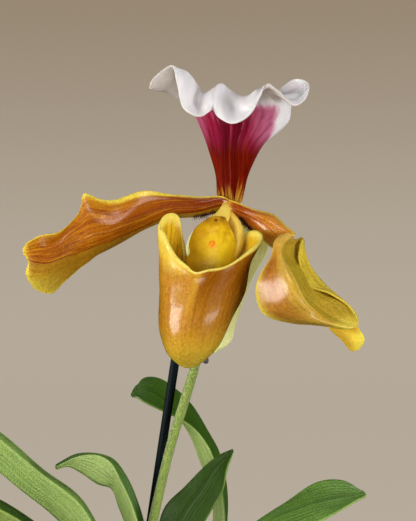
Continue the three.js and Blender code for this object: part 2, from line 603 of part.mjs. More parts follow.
function makePot() {
  const shell = solid(turned([
    [0, 0], [POT_BASE_RADIUS - 1, 0], [POT_BASE_RADIUS, 1], [bodyTopRadius, rimFoot - 1],
    [POT_RIM_RADIUS - 1, rimFoot], [POT_RIM_RADIUS, POT_HEIGHT - 1], [POT_RIM_RADIUS - 0.7, POT_HEIGHT],
    [POT_RIM_RADIUS - POT_WALL, POT_HEIGHT], [POT_RIM_RADIUS - 1.1 - POT_WALL, rimFoot + 1.5],
    [innerTopRadius, rimFoot - 1.5], [floorRadius, POT_FLOOR], [0, POT_FLOOR],
  ], POT_SIDES));
  const holes = Array.from({ length: DRAIN_HOLES }, (_, i) => {
    const angle = (2 * Math.PI * i) / DRAIN_HOLES;
    const hole = new THREE.CylinderGeometry(DRAIN_HOLE_RADIUS, DRAIN_HOLE_RADIUS, 3 * POT_FLOOR, 12);
    hole.rotateX(Math.PI / 2);
    hole.translate(DRAIN_RING_RADIUS * Math.cos(angle), DRAIN_RING_RADIUS * Math.sin(angle), 0);
    return solid(hole);
  });
  return mainBody(shell.subtract(join(holes)));
}

/** The two crowns, the rhizome between them and their roots, grown by a margin on all sides. */
function rootstockSolid(margin) {
  const crown = ([x, y], radius) => {
    const knob = turned([
      [0, CROWN_ROOT - margin], [0.7 * radius + margin, CROWN_ROOT - margin],
      [radius + margin, CROWN_ROOT + 3], [radius + margin, CROWN_TOP - 1.4],
      [radius - 0.9 + margin, CROWN_TOP + margin], [0, CROWN_TOP + margin],
    ], 18);
    return solid(knob.translate(x, y, 0));
  };
  const [ax, ay] = MAIN_GROWTH;
  const [bx, by] = SECOND_GROWTH;
  const rhizome = tube([[ax, ay, 73], [2, 14, 72.5], [bx, by, 73]], RHIZOME_RADIUS + margin, 8, 8);
  const end = 60 - margin;
  const roots = [
    [[ax - 8, ay - 4, 75.4], [ax - 15, ay - 9, 77.6], [ax - 21, ay - 14, 72], [ax - 22, ay - 16, end]],
    [[ax + 5, ay - 8, 75.2], [ax + 9, ay - 18, 77.4], [ax + 11, ay - 27, 72], [ax + 11, ay - 29, end]],
    [[ax - 7, ay + 6, 75], [ax - 14, ay + 11, 77.2], [ax - 20, ay + 16, 72], [ax - 21, ay + 18, end]],
    [[bx + 6, by - 3, 75.2], [bx + 12, by - 9, 77.2], [bx + 16, by - 17, 72], [bx + 16, by - 19, end]],
  ].map((path) => tube(path, ROOT_RADIUS + margin, 6, 9));
  return join([
    crown(MAIN_GROWTH, MAIN_CROWN_RADIUS), crown(SECOND_GROWTH, SECOND_CROWN_RADIUS),
    solid(rhizome), ...roots.map(solid),
  ]);
}

/** One bark chip: a box with its corners drawn in unevenly. */
function chip(centre, turn, draw) {
  const box = new THREE.BoxGeometry(...CHIP_SIZE);
  box.deleteAttribute("normal");
  box.deleteAttribute("uv");
  const shape = mergeVertices(box, 1e-4);
  const points = shape.attributes.position;
  for (let i = 0; i < points.count; i += 1) {
    const share = () => 0.62 + 0.38 * draw();
    points.setXYZ(i, points.getX(i) * share(), points.getY(i) * share(), points.getZ(i) * share());
  }
  shape.rotateX(0.5 * (draw() - 0.5)).rotateY(0.5 * (draw() - 0.5)).rotateZ(turn);
  return solid(shape.translate(...centre));
}

function makeBark() {
  const bed = solid(turned([
    [0, POT_FLOOR + FIT_GAP], [floorRadius - FIT_GAP, POT_FLOOR + FIT_GAP],
    [innerTopRadius - FIT_GAP - 0.1, rimFoot - 1.5], [innerTopRadius + 0.4, BARK_LEVEL],
    [0, BARK_LEVEL],
  ], POT_SIDES));
  const draw = seededDraws(CHIP_SEED);
  const goldenAngle = Math.PI * (3 - Math.sqrt(5));
  const chips = Array.from({ length: CHIP_COUNT }, (_, i) => {
    const radius = CHIP_REACH * Math.sqrt((i + 0.5) / CHIP_COUNT);
    const angle = i * goldenAngle;
    const height = BARK_LEVEL + 0.6 + 1.3 * draw();
    return chip([radius * Math.cos(angle), radius * Math.sin(angle), height], 3.1 * draw(), draw);
  });
  const away = vec(STAKE_TOP).sub(vec(STAKE_FOOT)).normalize().multiplyScalar(FIT_GAP);
  const stakeHole = tube(
    [vec(STAKE_FOOT).sub(away).toArray(), STAKE_TOP], STAKE_RADIUS + FIT_GAP, 10, 1,
  );
  return mainBody(join([bed, ...chips]).subtract(rootstockSolid(FIT_GAP)).subtract(solid(stakeHole)));
}

place("pot", makePot(), "pot");
place("bark", makeBark(), "bark");
place("rootstock", mainBody(rootstockSolid(0)), "root");

// ---------- leaves ----------

/** The sheath's row at one height: near margin, keel and far margin of nearly a half round. */
function sheathRow([x, y], side, radius, height) {
  const edge = x + side * SHEATH_EDGE_GAP;
  return [
    [edge, y - radius, height + 1], [x + side * radius, y, height], [edge, y + radius, height + 1],
  ];
}

/** One half of a leaf's section, from its keel to a margin, bulging away from the other half. */
function halfSection(keel, margin, other, camber, steps) {
  const chord = margin.clone().sub(keel);
  const along = chord.clone().normalize();
  const outward = other.clone().sub(keel);
  outward.addScaledVector(along, -outward.dot(along)).normalize().negate();
  return Array.from({ length: steps + 1 }, (_, i) => {
    const share = i / steps;
    const bulge = 4 * camber * chord.length() * share * (1 - share);
    return keel.clone().addScaledVector(chord, share).addScaledVector(outward, bulge);
  });
}

function leafGrid({ growth, side, sheath, rows }, along, halfSteps) {
  const feet = [0, SHEATH_HEIGHT].map((rise) => (
    sheathRow(growth, side, sheath, CROWN_TOP + FIT_GAP + rise)
  ));
  const all = [...feet, ...rows];
  const [near, keel, far] = [0, 1, 2].map((column) => (
    sample(all.map((row) => vec(row[column])), along, false, "centripetal")
  ));
  return keel.map((middle, i) => {
    const share = Math.min((i / along) * (all.length - 1) / 2, 1);
    const camber = THREE.MathUtils.lerp(SHEATH_CAMBER, BLADE_CAMBER, share);
    const left = halfSection(middle, near[i], far[i], camber, halfSteps);
    const right = halfSection(middle, far[i], near[i], camber, halfSteps);
    return [...left.reverse(), ...right.slice(1)];
  });
}

for (const leaf of LEAVES) {
  place(leaf.name, sheet(leafGrid(leaf, 15, 2), LEAF_THICKNESS), "leaf");
}

// ---------- stem, ovary, bract, stake and clip ----------

place("flower_stem", tube(STEM_PATH, STEM_RADIUS, 10, 22), "stem");

const ovaryRadius = (share, angle) => {
  const girth = OVARY_RADIUS * (1 - 0.24 * Math.cos(Math.PI * share) ** 2 * (1 - share));
  return girth + OVARY_RIB * Math.cos(6 * angle) * Math.sin(Math.PI * share);
};
place("ovary", shapedTube(OVARY_PATH, ovaryRadius, 12, 14), "stem");
place("bract", sheet(loft(BRACT_ROWS, 6, 8), 0.7), "stem");
place("stake", tube([STAKE_FOOT, STAKE_TOP], STAKE_RADIUS, 10, 2), "stake");

/** A loop round the stem and the stake at one height, at a distance from both. */
function clipLoop(height, distance, count) {
  const heightMiss = (point) => Math.abs(point.z - height);
  const stemPoint = sample(STEM_PATH.map(vec), 400)
    .reduce((best, point) => (heightMiss(point) < heightMiss(best) ? point : best));
  const [foot, top] = [vec(STAKE_FOOT), vec(STAKE_TOP)];
  const stakePoint = foot.clone().lerp(top, (height + CLIP_RISE - foot.z) / (top.z - foot.z));
  const axis = Math.atan2(stakePoint.y - stemPoint.y, stakePoint.x - stemPoint.x);
  return Array.from({ length: count }, (_, i) => {
    const angle = axis + (2 * Math.PI * (i + 0.5)) / count;
    const nearStake = Math.cos(angle - axis) > 0;
    const centre = nearStake ? stakePoint : stemPoint;
    const radius = distance + (nearStake ? STAKE_RADIUS : STEM_RADIUS);
    const reach = new THREE.Vector3(radius * Math.cos(angle), radius * Math.sin(angle), 0);
    return centre.clone().setZ(height + (nearStake ? CLIP_RISE : 0)).add(reach);
  });
}

function makeClip() {
  const count = 16;
  const [low, high] = CLIP_HEIGHTS;
  const outer = CLIP_CLEARANCE + CLIP_WALL;
  const loops = [[low, CLIP_CLEARANCE], [low, outer], [high, outer], [high, CLIP_CLEARANCE]]
    .map(([height, distance]) => clipLoop(height, distance, count));
  const triangles = [];
  loops.forEach((loop, i) => {
    const next = loops[(i + 1) % loops.length];
    for (let j = 0; j < count; j += 1) {
      const k = (j + 1) % count;
      triangles.push(...patch(loop[j], loop[k], next[k], next[j]));
    }
  });
  const tab = new THREE.SphereGeometry(0.5, 12, 8).scale(...TAB_SIZE).translate(...TAB_CENTRE);
  return mainBody(solid(closedMesh(triangles)).add(solid(tab)));
}

place("clip", makeClip(), "clip");

// ---------- bloom ----------

place("dorsal_sepal", sheet(loft(DORSAL_ROWS, 32, 12), PETAL_THICKNESS), "dorsal", HEART);
place("petal_left", sheet(loft(LEFT_PETAL_ROWS, 6, 22), PETAL_THICKNESS), "petal", HEART);
place("petal_right", sheet(loft(RIGHT_PETAL_ROWS, 9, 28), PETAL_THICKNESS), "petal", HEART);
place("synsepal", sheet(loft(SYNSEPAL_ROWS, 6, 12), PETAL_THICKNESS), "synsepal", HEART);

function makePouch() {
  const half = POUCH_THICKNESS / 2;
  const toe = {
    outerFace: 1,
    outer: vec(POUCH_TOE).add(new THREE.Vector3(0, 0, -half)),
    inner: vec(POUCH_TOE).add(new THREE.Vector3(0, 0, half)),
  };
  return sheet(loft(POUCH_RINGS, 32, 12, true), POUCH_THICKNESS, true, toe);
}

place("pouch", makePouch(), "pouch", HEART);

function makeColumn() {
  const boss = new THREE.SphereGeometry(BOSS_RADIUS, 8, 5).translate(...BOSS_CENTRE);
  return mainBody(join([
    tube(COLUMN_PATH, COLUMN_RADIUS, 10, 6),
    sheet(loft(SHIELD_ROWS, 7, 8), 1.3),
    sheet(loft(SHIELD_LOBE_ROWS, 4, 6), 0.9),
    tube(TOOTH_PATH, TOOTH_RADIUS, 6, 3),
    boss,
  ].map(solid)));
}

place("column", makeColumn(), "column", HEART);

export default orchid;
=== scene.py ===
"""A slipper orchid in bloom in a small nursery pot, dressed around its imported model.

Lengths are in millimetres until they enter a mesh, where they become metres. The origin is the
centre of the pot's base, +Z is up, and the bloom faces -Y.
"""

from __future__ import annotations

import logging
import math
from dataclasses import dataclass, field
from enum import Enum
from functools import cache
from typing import Callable, Sequence

import bpy
import numpy as np
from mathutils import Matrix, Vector

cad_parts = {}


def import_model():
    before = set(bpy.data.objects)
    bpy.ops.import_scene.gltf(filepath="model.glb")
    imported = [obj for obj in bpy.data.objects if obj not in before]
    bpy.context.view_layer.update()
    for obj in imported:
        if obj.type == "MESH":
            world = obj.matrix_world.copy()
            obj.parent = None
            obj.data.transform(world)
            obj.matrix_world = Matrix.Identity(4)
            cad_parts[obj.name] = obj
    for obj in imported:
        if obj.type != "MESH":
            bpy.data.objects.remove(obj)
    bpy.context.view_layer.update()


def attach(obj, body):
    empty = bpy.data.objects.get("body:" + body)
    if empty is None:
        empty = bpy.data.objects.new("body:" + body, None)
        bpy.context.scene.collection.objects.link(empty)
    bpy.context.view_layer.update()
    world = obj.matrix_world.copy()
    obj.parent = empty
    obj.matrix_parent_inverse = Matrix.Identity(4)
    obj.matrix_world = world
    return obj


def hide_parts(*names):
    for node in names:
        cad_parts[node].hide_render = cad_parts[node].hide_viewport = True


LOG = logging.getLogger("orchid")
BODY = "root"
MM = 0.001
Point = Sequence[float]
Row = Sequence[Point]
Colour = tuple[float, float, float]
Stops = tuple[tuple[float, float], ...]
Skin = tuple[np.ndarray, list, Sequence]  # corners, faces, and a pattern place for each face corner

HEART = np.array([21.8, -12.0, 228.0])  # where the bloom's parts meet
MAIN_GROWTH = (-8.7, 0.0)
SECOND_GROWTH = (12.5, 30.0)

# Rows of points from the root outwards, from the heart: across the dorsal sepal from left to right.
DORSAL_ROWS: list[Row] = [
    [[-4.8, 3.4, 2.2], [-3.4, 1.6, 1.8], [-0.6, 0.8, 1.4], [2, 1.6, 1.2], [3.2, 3, 1.8]],
    [[-5.2, 4.4, 12], [-5, 1.2, 11.6], [-0.6, -0.4, 11.6], [4.8, 1.2, 12], [5.6, 5, 12]],
    [[-7, 6, 20.6], [-7.8, 0.8, 20.4], [-4.6, -0.6, 20.4], [-0.6, -1.2, 20.4], [3.8, -1, 20.4],
     [8.6, 1.2, 20.4], [11, 7.6, 21.8]],
    [[-9.2, 9.6, 29], [-11.4, 3.6, 29.4], [-8.8, 0.4, 29.2], [-5.2, -0.6, 29.2], [-0.6, -1.2, 29.2],
     [4, -1, 29.2], [9.2, -0.2, 29.2], [14.4, 1.6, 29], [18.6, 5.6, 29.2], [18, 12, 28.4]],
    [[-12.6, 11.6, 36], [-14.6, 4.4, 35.4], [-13, 1.6, 35.4], [-9.8, 0, 35.6], [-6.2, -1, 35.4],
     [-1.4, -2, 35.2], [3, -2.4, 34.8], [8.2, -2, 34.6], [13.2, -1.2, 34.4], [17.4, 0.4, 34.4],
     [20, 6, 34.6], [19, 13, 34.6]],
    [[-19.8, 10.4, 41.8], [-22.6, 6, 39.8], [-20.8, 0, 39.2], [-17.6, -1, 41.8], [-15.6, 0, 44.8],
     [-13.8, -1.6, 44], [-12, -2.4, 40.8], [-10.4, -3, 38.4], [-8.2, -4.4, 38.6], [-5.6, -5, 40.2],
     [-3.6, -4.4, 41.4], [-1.2, -3, 39.6], [2, -3.6, 37.4], [5.4, -6, 37.2], [8.6, -7.6, 39],
     [11.2, -4.4, 38.8], [14.6, -4, 37.2], [18.2, -4, 37.8], [22, -1.6, 38.6], [22.6, 4, 39.6],
     [17, 12, 37.4]],
    [[-21.8, 6, 44.6], [-25.8, 3, 41], [-25, -1.6, 39.6], [-21.4, -3.6, 43], [-17.8, -3.6, 46.4],
     [-16, -8, 42.6], [-14.4, -9, 36.8], [-11.6, -6.4, 34.4], [-8.4, -11, 34.4], [-6.2, -10.4, 36],
     [-3.8, -8.4, 35.6], [-0.4, -6, 33.8], [2.4, -9, 33.2], [5.8, -14, 34.2], [8.8, -11, 37.8],
     [11.6, -6.4, 40], [15.2, -7.6, 37.8], [19.4, -8, 35.8], [23.6, -5, 37.4], [24.4, 1, 41],
     [15.6, 10, 38.8]],
    [[-22.4, 2, 45.8], [-25.6, 1, 43], [-28, -2.4, 40.2], [-26.6, -4.4, 43.6], [-20.4, -6, 47.6],
     [-18.6, -9, 41.2], [-16.8, -12, 33.4], [-12.8, -14, 30.4], [-9.6, -13, 30.4], [-6.6, -9, 32.6],
     [-4.4, -12, 29.6], [-0.4, -15, 27.6], [3.6, -16, 28.8], [6.8, -15, 31.8], [9.2, -12, 36.4],
     [11.8, -8, 41.4], [15.8, -10, 38.6], [20.4, -11.6, 33.8], [24.8, -7, 36.4], [26, -1, 41.8],
     [21.2, 3, 43.6], [15.6, 8.4, 40]],
]

# Across the left petal from its lower margin to its upper one. The root row joins the heart.
LEFT_PETAL_ROOT: Row = [
    [-2.8, -0.4, -1.8], [-2.4, -2, -0.4], [-2, -2.8, 0.6], [-1.4, -3.2, 1.8], [-1.2, -2.6, 2.6],
]
LEFT_PETAL_ROWS: list[Row] = [
    [[-3.8, 0.4, -1.6], [-4, -1.2, 0], [-4, -1.6, 1.4], [-4.2, -1.8, 2.4], [-4.2, -1, 3.6]],
    [[-11.2, 1, -3.2], [-11.4, -1, -1.8], [-11.6, -1.8, 0], [-11.6, -1.6, 1.8], [-11.6, 0.6, 3.4]],
    [[-20.4, 1, -4], [-20.4, -1.8, -2], [-20.4, -2.2, 0.2], [-20.8, -2.4, 2.4], [-21, -1, 4.2]],
    [[-29.2, 0, -7.4], [-29.6, -2, -5.2], [-29.8, -3, -2.2], [-29.8, -2.6, 1.4], [-30, -0.6, 5.4]],
    [[-38, 0, -12.2], [-38.2, -2.4, -10.2], [-38.6, -4, -6.6], [-39, -2.4, -2.4], [-39.2, 0.8, 2.6]],
    [[-42, 0, -14.4], [-42.2, -2.2, -12], [-42.8, -4, -7.8], [-43.8, -2.4, -2.6], [-45, 0.8, 2.6]],
    [[-46, 0, -16.4], [-46.4, -2, -13.6], [-47, -3.8, -8.8], [-48.6, -2.6, -2.4], [-50.2, 0, 4.6]],
    [[-49, 0.4, -18.8], [-49.8, -1.8, -14.6], [-50.6, -3, -10.2], [-51.4, -2.4, -4.8], [-50.8, -0.6, 1.4]],
    [[-51.8, 1, -20.8], [-53, -1.6, -15.6], [-54, -2.4, -11.2], [-54, -2.2, -7.2], [-51.8, -0.8, -2]],
    [[-57.2, 2, -25.6], [-59.2, -1, -20], [-60.4, -1.4, -16.4], [-60.2, -0.6, -12.2], [-58.2, 2.4, -8.2]],
    [[-61.4, 3.6, -29.4], [-64.2, 0.4, -24.2], [-66, 0, -18.8], [-66, 0.2, -14.2], [-65, 1.6, -9.6]],
    [[-66.2, 4, -28.4], [-68.4, 2, -24.2], [-68.4, 0.8, -18.8], [-69.8, 1, -15.2], [-69, 0.8, -11.6]],
    [[-68, 4, -26.6], [-70.2, 2.4, -22.4], [-69.2, 1.2, -18.6], [-71.2, 1.2, -15.4], [-70.4, 0.8, -12.6]],
]

# Across the right petal from the margin that is on top at the root; the petal folds half way.
RIGHT_PETAL_ROOT: Row = [
    [-1, -2.8, 2.4], [-1.2, -3.2, 1.4], [-1.2, -3.6, 0.4], [-0.8, -3.2, -1], [-0.2, -2.6, -2.2],
]
RIGHT_PETAL_ROWS: list[Row] = [
    [[2.8, 0, 1], [2.6, -1, -0.2], [2.4, -1.6, -1.4], [2, -1, -2.4], [1.6, 0, -3.4]],
    [[7.8, -0.4, -1], [7.8, -2.4, -2.4], [7.6, -3, -4.2], [7, -2.4, -5.4], [6.2, -0.4, -7.4]],
    [[13.8, -2, -2.6], [13.2, -5, -4.4], [12.2, -5.6, -6.8], [11.4, -5, -9.2], [10.4, -2.4, -11.2]],
    [[17.8, -5, -6.2], [17.2, -7.6, -8], [15.8, -7, -10], [15.2, -5, -12.2], [15, -2, -14.6]],
    [[20.4, -8, -8.2], [19.8, -8, -9.6], [18.8, -6, -11], [18.6, -3, -12.6], [19, 0, -14.6]],
    [[20.8, -11.6, -9.4], [20.4, -10, -10.2], [20.2, -7.6, -10.6], [20.2, -5, -11.2], [21, -2, -11.8],
     [22, -0.4, -12.2], [23, 0, -12.6]],
    [[18, -15, -9.2], [18.6, -15.6, -9.8], [19.2, -14, -10.6], [20.6, -7, -11.6], [22.2, -3, -11.2],
     [24, -1.6, -10.8], [23.2, -5, -12]],
    [[14.4, -18, -11.6], [15.4, -20, -11.8], [16.8, -20, -12.4], [17.6, -12, -13.4], [21.4, -4, -13.6],
     [24.2, -3.6, -14.2], [22.6, -6, -14.2]],
    [[12.8, -21, -17], [14.4, -22.6, -16.8], [16.2, -24.2, -16.8], [17.2, -14, -17.4], [21.6, -5, -17.6],
     [25.2, -4.4, -17.6], [22.2, -6.8, -17.4]],
    [[9, -23.6, -23.2], [13.2, -26.4, -22.4], [18.4, -28.6, -21.4], [19.6, -17, -21.4], [23.6, -8, -21.4],
     [27.6, -6.4, -22], [23.2, -9.4, -21.8]],
    [[7.6, -23.6, -29.2], [14.2, -28.4, -28.6], [20.8, -31, -26.8], [22.2, -19, -26.4], [26.4, -10, -25.6],
     [31.2, -8.4, -26.4], [25.6, -13, -26.8]],
    [[10.4, -24, -36], [16.8, -29, -33.8], [23.2, -30, -31.6], [24.8, -20, -30.8], [29.8, -12, -29.4],
     [35.6, -10.4, -30.4], [32.4, -13.6, -29]],
    [[19, -23, -38.8], [23.2, -27, -37.2], [27.6, -25, -35.6], [29.2, -18.4, -34.6], [34.4, -13.6, -32.2],
     [39.4, -12.4, -34.2], [38.8, -13, -33.2]],
    [[28.6, -21, -39.6], [30.2, -23, -38.8], [31.8, -22, -38.4], [33.4, -18.4, -37.2], [37.6, -15.6, -35.8],
     [41.4, -14, -37.4], [41.2, -14.4, -36.8]],
    [[38.4, -17.8, -41.2], [39.2, -18, -41], [39.8, -18, -40.8], [40.4, -17.6, -40.6], [41, -16.4, -40.6],
     [41.6, -15.6, -40.8], [41.6, -15.2, -40.4]],
]

PETAL_TONGUE_ROWS: list[Row] = [
    [[30.6, -15, -38], [35.4, -14.4, -38], [40.8, -13.6, -38.4]],
    [[32.2, -15, -40.8], [37.2, -15.8, -40.8], [42.8, -14, -41.8]],
    [[34.8, -14.2, -43.2], [39.2, -16.4, -43], [44, -13.8, -43.8]],
    [[37.2, -13.8, -45.4], [40.6, -16.2, -45.6], [44, -13.4, -45.4]],
    [[39.2, -13, -48], [40.8, -14, -48.4], [42.8, -12.8, -47.4]],
]

SYNSEPAL_ROWS: list[Row] = [
    [[-4, 3.6, -3.6], [-0.6, 3, -3], [2.8, 3.6, -3.6]],
    [[-13.6, 6, -8.4], [-1.6, 5.6, -7.4], [8.6, 4.4, -9.4]],
    [[-16.2, 7.6, -17.6], [-2, 6, -16.6], [12.6, 4.4, -13.8]],
    [[-17, 8, -29], [-3.8, 7, -28.2], [7, 6.4, -24.6]], [[-15, 8.4, -39.2], [-5.4, 8, -39.2], [2, 7, -37.8]],
    [[-11, 8.4, -46.6], [-5.8, 8, -46.8], [-0.2, 7.6, -45.8]],
    [[-7.8, 8, -49.6], [-6.2, 8, -50], [-4.4, 8, -49]],
]

# Rings round the pouch from the toe up, from the front keel to the right. The last is the rim.
POUCH_TOE = np.array([-15, -17, -53.2])
POUCH_RINGS: list[Row] = [
    [[-15, -20.4, -53.2], [-13.2, -20.4, -53], [-11.4, -19, -52.4], [-10.4, -17, -51.8],
     [-11.2, -14, -51.8], [-12.8, -12, -52], [-14.8, -11.6, -52.2], [-16.6, -12, -52], [-18, -14, -51.6],
     [-18.8, -17, -51.8], [-18.2, -19.6, -52.2], [-16.6, -20.4, -53]],
    [[-16, -27, -47.8], [-11.8, -26.8, -47.8], [-7.6, -23.4, -47.2], [-4.8, -17, -46.2], [-5.8, -11, -46.6],
     [-8.4, -7, -47], [-12.8, -5.6, -47.2], [-17.2, -6.4, -47.2], [-20.6, -9.6, -47], [-22.2, -14.4, -47.2],
     [-21.8, -20.6, -47.6], [-19.4, -25.2, -47.8]],
    [[-15.6, -29.8, -37.8], [-9.8, -29.6, -37.8], [-4.2, -25.4, -37.6], [-1, -16.4, -38], [-1.6, -9, -37.8],
     [-4.8, -3.6, -37.6], [-10.2, -1.6, -37.8], [-16, -2, -37.6], [-21, -4.4, -37.6], [-24, -10, -37.8],
     [-24, -18.4, -38.4], [-21.4, -26, -38.2]],
    [[-13, -28.8, -27.6], [-7.6, -28.6, -27.6], [-0.8, -24, -27.2], [3.8, -15.6, -27.2], [3.4, -7, -27.4],
     [0.2, -1.6, -27.8], [-5, 0.4, -28.2], [-10.8, 0.4, -28.2], [-17, -1.6, -27.8], [-22, -7, -27.4],
     [-24, -15.6, -26.8], [-20.8, -24, -27.2]],
    [[-12.2, -27, -22], [-7.6, -27, -21], [-2.8, -25.6, -20.2], [1.8, -23, -17.6], [6, -20, -14.4],
     [9.2, -16.4, -11.8], [10.2, -13, -10], [8.8, -10.4, -8.4], [6.6, -7.6, -8.2], [4.6, -3.6, -9.6],
     [2.8, -1.6, -13.6], [2.2, 0, -16], [1.4, 1, -13.2], [0.6, 1.6, -7.4], [-1.4, 1, -3.6],
     [-3.4, 1.6, -7.4], [-6.2, 1.2, -11.2], [-9.8, 0, -13.2], [-13.8, -2.4, -15.6], [-15.6, -5.6, -17.8],
     [-16.6, -6.4, -11.2], [-17.4, -7.6, -5.2], [-18.2, -8, -3.2], [-20.2, -9, -2.2], [-23, -11, -3.2],
     [-24.4, -14, -6.4], [-22.6, -17, -9], [-20.8, -19.6, -13], [-18.4, -22.4, -16.8], [-15, -25.6, -19.8]],
]

SHIELD_ROWS: list[Row] = [
    [[-8.4, -5.6, -4.6], [-6.8, -7, -3.8], [-5.2, -7.6, -3.6], [-3.6, -7.6, -3.6], [-2.4, -6, -4.2]],
    [[-12.4, -6.4, -7.6], [-9.6, -9.4, -7.2], [-6.4, -10.6, -7.2], [-3.2, -10.2, -7], [-0.8, -7.6, -7]],
    [[-14.4, -8, -12.2], [-10.8, -11, -12.4], [-6.6, -12.4, -12.4], [-2.4, -12, -12], [1, -9, -11.8]],
    [[-14.2, -9.6, -15.6], [-10.8, -12.4, -16], [-6.8, -14, -16.2], [-2.8, -13.4, -15.6], [0.8, -10, -14.8]],
    [[-15.6, -11, -18.2], [-10.8, -14.4, -19.6], [-6.8, -15.6, -20.2], [-3.2, -15, -19.6],
     [0.2, -11.6, -17.8]],
    [[-14.8, -12.4, -20.8], [-10.8, -15.6, -23.4], [-6.8, -16.4, -24], [-3.4, -15.6, -23],
     [-0.4, -12.4, -20.8]],
]
SHIELD_LOBE_ROWS: list[Row] = [
    [[-2.8, -2.4, -2], [-1, -4, -1.8], [0.4, -3, -2.4]],
    [[-1.4, -4.4, -5.2], [1.2, -6.4, -4.6], [2.6, -4.8, -5.4]],
    [[-0.4, -5.6, -9.2], [2.2, -8, -8.6], [4, -6, -9.6]],
    [[-0.2, -7, -13.6], [2, -9.8, -13.4], [3.2, -7.2, -14]],
    [[-1.2, -9, -18], [0, -10.4, -18.6], [1.2, -8.6, -18.4]],
]
COLUMN_PATH: Row = [(-1.5, -1.5, 2), (-2, -2.5, 0.5), (-2.5, -4, -1.5), (-3.5, -5.5, -3.5), (-4.5, -6.5, -5)]
TOOTH_PATH: Row = [(-7.5, -15, -19.5), (-7, -16.5, -20.5), (-7, -16.5, -21.5)]
BOSS_CENTRE = np.array([-6.8, -13.6, -12.8])

STEM_PATH: Row = [
    (-8.8, 0, 80), (-8.5, 0, 93), (-7.5, 0, 106.5), (-5.3, 0, 120), (0.4, 0.4, 144.5),
    (5.6, 1, 161.5), (9, 1.6, 173), (12.1, 2.5, 186), (14.6, 3.5, 198),
]
OVARY_PATH: Row = [
    (14.7, 3.6, 198.35), (17.4, 4.6, 209.5), (19.4, 3, 219), (20.8, -1.6, 225.6),
    (21.3, -6.5, 227.8), (21.3, -10.9, 228.2),
]
BRACT_ROWS: list[Row] = [
    [[10.9, 2.6, 192.5], [11.7, 5, 192], [14, 5.2, 192], [15.7, 3.8, 192], [15.8, 1.6, 192.5]],
    [[11.6, 4.8, 200], [13, 7.5, 200], [15.2, 8.4, 200], [17.6, 7.2, 200], [18.6, 4.2, 200]],
    [[13.2, 6.6, 209], [15, 9.4, 209], [17.2, 10.2, 209], [19.6, 9, 209], [21.2, 6.2, 209]],
    [[16.4, 8, 217], [17.6, 9.4, 217.5], [19, 9.8, 218], [20.4, 9, 217.5], [21.2, 7.4, 217]],
    [[18.8, 7.4, 222.5], [19.2, 7.7, 223], [19.6, 7.8, 223.2], [20, 7.6, 223], [20.4, 7.2, 222.5]],
]
STAKE_FOOT = np.array([-21, 18.3, 22])
STAKE_RUN = np.array([3.4, 2.1, 182.5]) - STAKE_FOOT
TAB_CENTRE = np.array([12.9, 1.4, 175.4])

